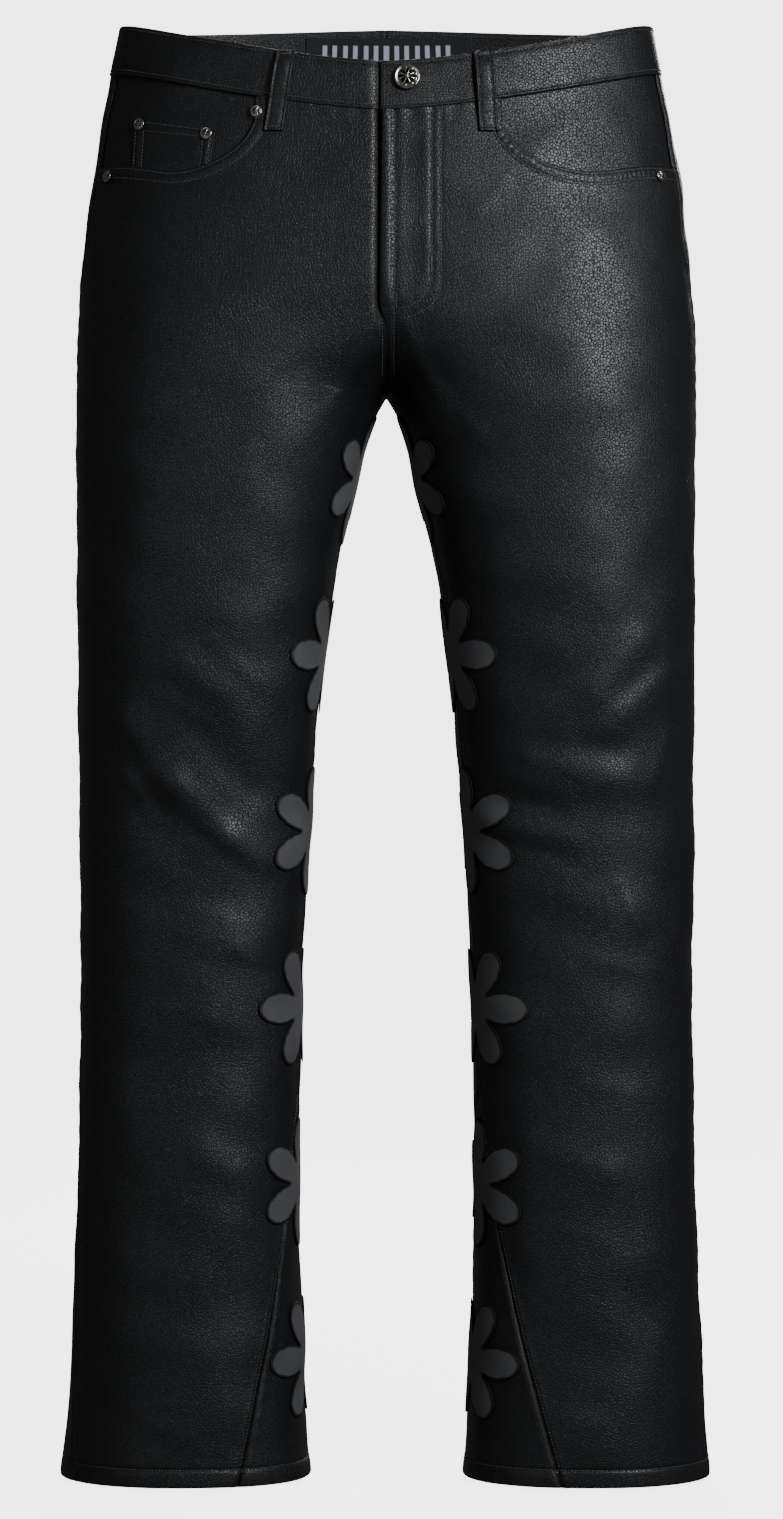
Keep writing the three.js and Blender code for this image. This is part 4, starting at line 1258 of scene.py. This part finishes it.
def waistStitches():
    rows = []
    for side in signs:
        rows.append(bandRow(side, band["stitch"], waist["proud"]))
        rows.append(bandRow(side, waist["height"] - band["stitch"], waist["proud"]))
        rows.append(bandRow(side, band["stitch"], waist["proud"] - waist["wall"] - 0.1))
    for edge in (-1, 1):
        x = np.linspace(buttonhole["from"], buttonhole["to"], 40)
        z = np.full(40, buttonhole["z"] + edge * buttonhole["halfWidth"])
        rows.append(pathRow("left", x, z, waist["proud"] + 0.1, buttonhole["size"]))
    end = np.linspace(4, waist["height"] - 4, 30)
    turns = turnAtX(np.full(30, -1.2), -50.0)
    rows.append(stitchRowOn("left", turns, float(bandTop(0.0)) - end, waist["proud"]))
    for plan in beltLoops.values():
        down = np.linspace(loop["tack"], loop["length"] - loop["tack"], 60)
        for edge in (-1, 1):
            across = np.full(60, edge * (loop["width"] / 2 - loop["stitch"]))
            turns, z = loopPlaces(plan, across, down)
            rows.append(stitchRowOn(plan["side"], turns, z, loopLift(down) + loop["half"] - 0.1))
        across = np.linspace(-1, 1, 12) * (loop["width"] / 2 - 3)
        for level in (loop["tack"], loop["length"] - loop["tack"]):
            turns, z = loopPlaces(plan, across, np.full(12, level))
            lift = float(loopLift(level)) + loop["half"] - 0.1
            rows.append(stitchRowOn(plan["side"], turns, z, lift, loopTack))
    return rows


def frontStitches():
    rows = []
    for side in signs:
        for inset, lift in ((stitchRow["edge"], 0.32), (stitchRow["second"], 0.3)):
            turns, z = besidePocket(side, inset)[:2]
            rows.append(stitchRowOn(side, turns[2:], z[2:], lift))
    for name in ("inner", "outer"):
        x, z = flyPath(name)
        rows.append(pathRow("left", finer(x), finer(np.append(-74.5, z[1:])), 0.05))
    z = np.linspace(-75, fly["bottom"] + 2, 120)
    rows.append(pathRow("left", np.full(120, flyStitch["edgeX"]), z, 0.1))
    z = np.linspace(fly["bottom"] - 6, body["crotch"] + 12, 60)
    rows.append(pathRow("left", np.full(60, flyStitch["seamOut"] + 0.6), z, 0.1))
    rows.append(pathRow("right", np.full(60, -flyStitch["seamIn"] + 0.6), z, 0.1))
    for x, z0, z1 in ((7.5, -212, -222), (33.5, -184, -196)):
        z = np.linspace(z0, z1, 20)
        rows.append(pathRow("left", np.full(20, float(x)), z, 0.35, tack))
    for inset in watch["stitches"]:
        across, down = inset / watch["width"], inset / watch["height"]
        turns, z = watchPlaces(np.linspace(across, 1 - across, 80), np.full(80, down))
        rows.append(stitchRowOn("right", turns, z, watch["lift"] + watch["half"]))
        v = np.linspace(down, 0.9, 50)
        for edge in (across, 1 - across):
            turns, z = watchPlaces(np.full(50, edge), v)
            rows.append(stitchRowOn("right", turns, z, watch["lift"] + watch["half"] + watchSink(v)))
    return rows


def legStitches():
    rows = []
    level = body["hem"] + hem["turn"]
    for side in signs:
        turns = np.linspace(0, 1, 500)
        rows.append(stitchRowOn(side, turns, np.full(500, float(level)), 0.0))
        z = np.linspace(gusset["top"] + 4, level + 1, 260)
        start = frontEdges(side, z)[0]
        rows.append(stitchRowOn(side, start + gusset["stitch"] / speedAt(start + probe, z), z, 0.15))
    return rows


for side in signs:
    makeWaistband(side)
    makeBearer(side)
    makePocketWelt(side)
    for index in range(flowers["count"]):
        makeFlower(side, index)
makeWatchPocket()
makeLabel()
for name, plan in beltLoops.items():
    makeBeltLoop(name, plan)
print("waistband, pockets, loops, label and flowers made")
for name, plan in studs.items():
    makeStud(name, plan)
sewStitches("stitching_waist", waistStitches())
sewStitches("stitching_front", frontStitches())
sewStitches("stitching_legs", legStitches())
print("button, rivets and stitches made")


# Studio
studio = {"floorLevel": -1.104, "radius": 11.0, "rings": 24, "sides": 96, "glow": 4.0, "air": 0.07}


def makeStage():
    # a round floor under a half dome: the radius grows along the floor and falls as cos(angle) up the dome
    rise = np.linspace(0, np.pi / 2, studio["rings"])
    radius = studio["radius"] * np.concatenate([[0, 0.5], np.cos(rise[:-1]), [0]])
    z = studio["floorLevel"] + studio["radius"] * np.concatenate([[0, 0], np.sin(rise)])
    around = np.linspace(0, 2 * np.pi, studio["sides"], endpoint=False)
    points = np.stack(np.broadcast_arrays(
        radius[:, None] * np.cos(around), radius[:, None] * np.sin(around), z[:, None]), -1) * 1000
    look = newLook("paleFloor")
    look.inputs["Base Color"].default_value = (0.9, 0.9, 0.9, 1)
    look.inputs["Roughness"].default_value = 0.7
    look.inputs["Emission Color"].default_value = (1, 1, 1, 1)
    look.inputs["Emission Strength"].default_value = studio["glow"]
    faces = gridFaces(len(z), studio["sides"], closedColumns=True)
    stage = putMesh("studio_shell", points, faces, look.material)
    mergeDoubles(stage)
    stage.visible_glossy = False
    stage.visible_diffuse = False
    stage.visible_shadow = False


lights = {
    # place and aim in metres, width, height, watts and colour
    "key_right": ((1.2, -1.65, 0.4), (0.1, 0, -0.35), 0.55, 0.9, 34, (0.93, 0.96, 1)),
    "fill_left": ((-1.7, -3.0, -0.1), (0, 0, -0.6), 1.6, 1.8, 6, (0.92, 0.96, 1)),
    "back_soft": ((0.6, 2.6, 0.9), (0, 0, -0.5), 1.6, 1.2, 60, (1, 1, 1)),
}


def addLight(name, place, aim, width, height, power, colour):
    data = bpy.data.lights.new(name, "AREA")
    data.shape = "RECTANGLE"
    data.size, data.size_y = width, height
    data.energy = power
    data.color = colour
    lamp = bpy.data.objects.new(name, data)
    bpy.context.scene.collection.objects.link(lamp)
    lamp.location = place
    way = mathutils.Vector(aim) - mathutils.Vector(place)
    lamp.rotation_euler = way.to_track_quat("-Z", "Y").to_euler()


makeStage()
for name, light in lights.items():
    addLight(name, *light)

world = bpy.data.worlds.new("studioWorld")
bpy.context.scene.world = world
world.use_nodes = True
air = world.node_tree.nodes["Background"]
air.inputs["Color"].default_value = (1, 1, 1, 1)
air.inputs["Strength"].default_value = studio["air"]

camera = {"distance": 3.3, "height": -0.557, "across": 0.004, "view": 1.157, "sensor": 36}
lens = bpy.data.cameras.new("camera")
lens.sensor_width = camera["sensor"]
lens.lens = camera["sensor"] * camera["distance"] / camera["view"]
eye = bpy.data.objects.new("camera", lens)
eye.location = (camera["across"], -camera["distance"], camera["height"])
eye.rotation_euler = (math.radians(90), 0, 0)
bpy.context.scene.collection.objects.link(eye)
bpy.context.scene.camera = eye
print("studio made")
